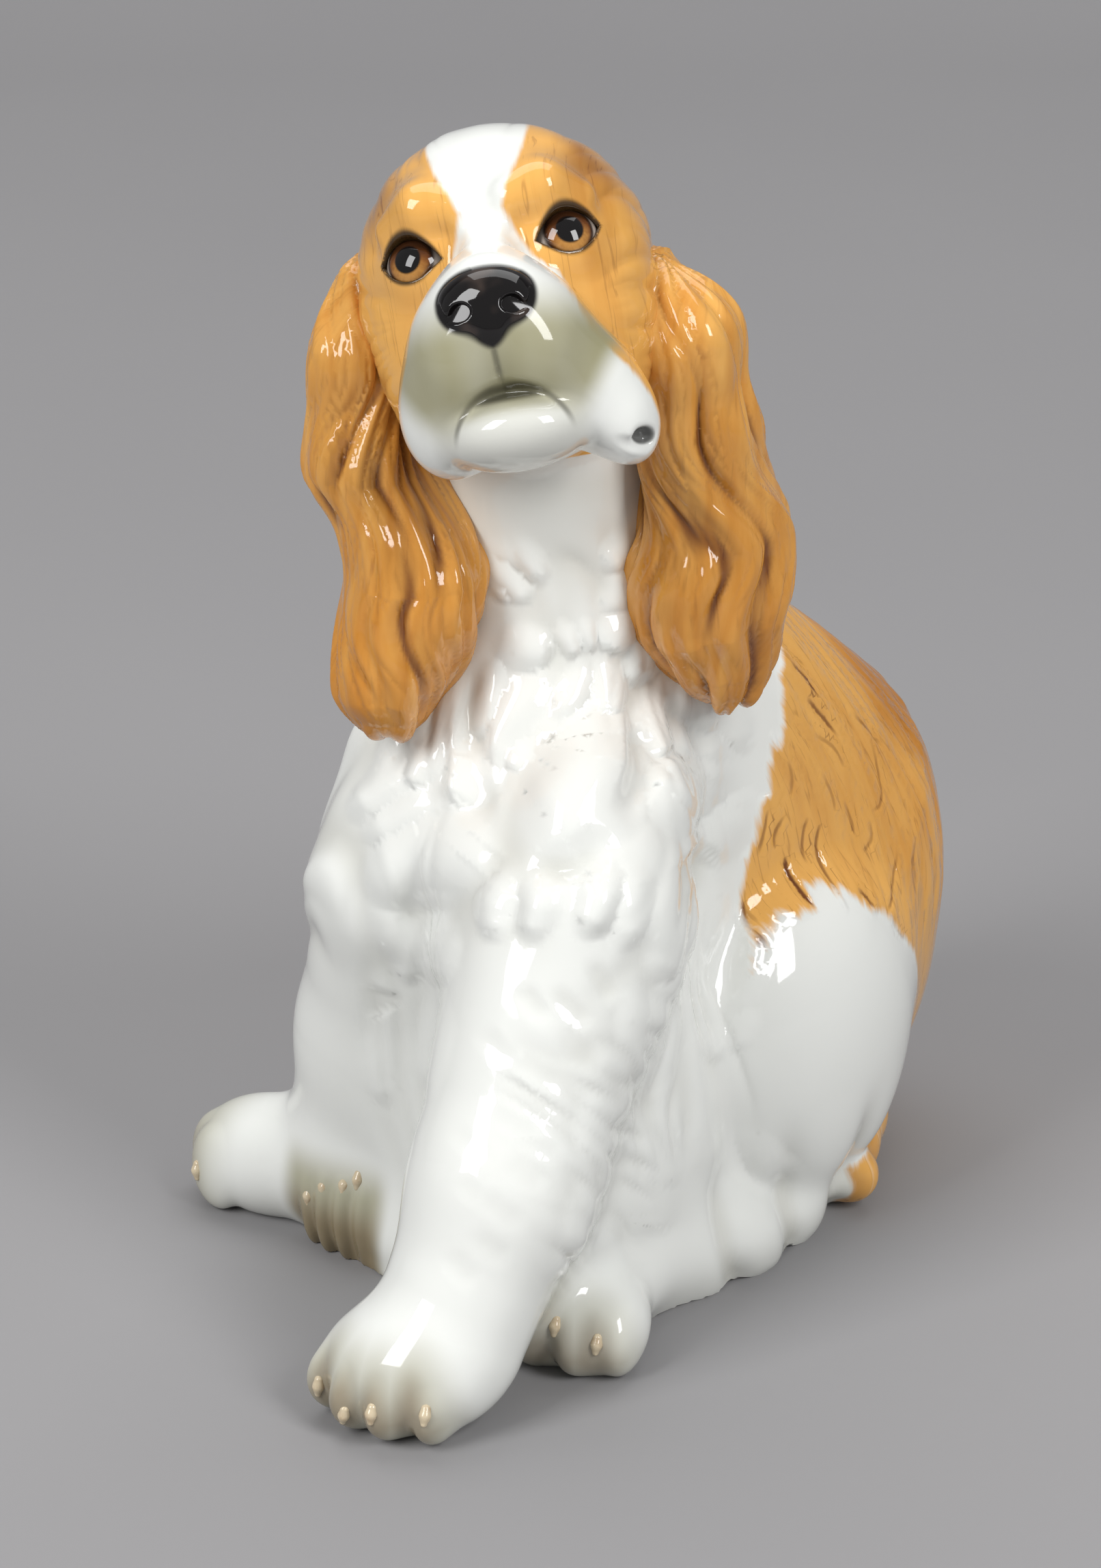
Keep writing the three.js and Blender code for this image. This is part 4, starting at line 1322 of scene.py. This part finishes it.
class PUPPY_OT_stage(bpy.types.Operator):
    """Lay out the paper sweep, the soft lights and the camera"""

    bl_idname = "puppy.stage"
    bl_label = "Stage"

    def execute(self, context):
        scene = context.scene
        turn, rise = FACING
        back = Vector((sin(turn) * cos(rise), -cos(turn) * cos(rise), sin(rise)))
        right = Vector((cos(turn), sin(turn), 0))
        target = AIMED_AT * MM - Vector(ORIGIN_AT) * MM
        camera = bpy.data.cameras.new("camera")
        camera.sensor_width, camera.lens = SENSOR, FOCAL_PIXELS / PHOTO_HEIGHT * SENSOR
        camera.clip_start, camera.clip_end = 0.05, 20
        eye = bpy.data.objects.new("camera", camera)
        eye.location = target + back * CAMERA_DISTANCE
        eye.rotation_euler = (-back).to_track_quat("-Z", "Y").to_euler()
        scene.collection.objects.link(eye)
        scene.camera = eye

        away = Vector((-back.x, -back.y, 0)).normalized()
        profile = [(-PAPER_FRONT, 0.0), (PAPER_BEND, 0.0)]
        for i in range(1, BEND_PIECES + 1):
            t = radians(90 * i / BEND_PIECES)
            profile.append((PAPER_BEND + BEND_RADIUS * sin(t), BEND_RADIUS - BEND_RADIUS * cos(t)))
        profile.append((PAPER_BEND + BEND_RADIUS, PAPER_TOP))
        spots = []
        for reach, height in profile:
            for side in (-PAPER_HALF, PAPER_HALF):
                spot = away * reach + right * side
                spots.append((spot.x, spot.y, height))
        faces = [(2 * i, 2 * i + 1, 2 * i + 3, 2 * i + 2) for i in range(len(profile) - 1)]
        mesh = bpy.data.meshes.new("paper_sweep")
        mesh.from_pydata(spots, [], faces)
        mesh.polygons.foreach_set("use_smooth", [True] * len(faces))
        mesh.materials.append(floor_material())
        sweep = bpy.data.objects.new("paper_sweep", mesh)
        scene.collection.objects.link(sweep)

        def spot(side, ahead, height):
            return target + right * side - away * ahead + Vector((0, 0, height))

        softbox("left_softbox", spot(-1.5, 1.4, 1.5), target, (0.95, 1.5), 43)
        softbox("right_softbox", spot(1.35, 1.5, 1.4), target, (0.75, 1.3), 36)
        softbox("top_softbox", spot(0.0, -1.2, 2.6), target, (2.8, 2.2), 44)
        world = bpy.data.worlds.new("studio")
        world.use_nodes = True
        sky = world.node_tree.nodes["Background"].inputs
        sky["Color"].default_value, sky["Strength"].default_value = (0.97, 0.98, 1.0, 1), 0.3
        scene.world = world
        scene.view_settings.view_transform = "Standard"
        return {"FINISHED"}


class PUPPY_PT_panel(bpy.types.Panel):
    """Sizes, glazes and building steps of the puppy"""

    bl_label = "Porcelain Puppy"
    bl_space_type = "VIEW_3D"
    bl_region_type = "UI"
    bl_category = "Puppy"

    def draw(self, context):
        for group in (context.scene.puppy_sizes, context.scene.puppy_glazes):
            for name in group.__annotations__:
                self.layout.prop(group, name)
        for step in STEPS:
            self.layout.operator(step.bl_idname)


STEPS = (PUPPY_OT_stage, PUPPY_OT_castings, PUPPY_OT_ears, PUPPY_OT_eyes, PUPPY_OT_nose, PUPPY_OT_claws)
CLASSES = (PuppySizes, PuppyGlazes, *STEPS, PUPPY_PT_panel)


def register():
    for cls in CLASSES:
        bpy.utils.register_class(cls)
    bpy.types.Scene.puppy_sizes = bpy.props.PointerProperty(type=PuppySizes)
    bpy.types.Scene.puppy_glazes = bpy.props.PointerProperty(type=PuppyGlazes)


def unregister():
    del bpy.types.Scene.puppy_glazes
    del bpy.types.Scene.puppy_sizes
    for cls in reversed(CLASSES):
        bpy.utils.unregister_class(cls)


def main():
    register()
    bpy.ops.puppy.stage()
    bpy.ops.puppy.castings()
    bpy.ops.puppy.ears()
    bpy.ops.puppy.eyes()
    bpy.ops.puppy.nose()
    bpy.ops.puppy.claws()


if __name__ == "__main__":
    main()
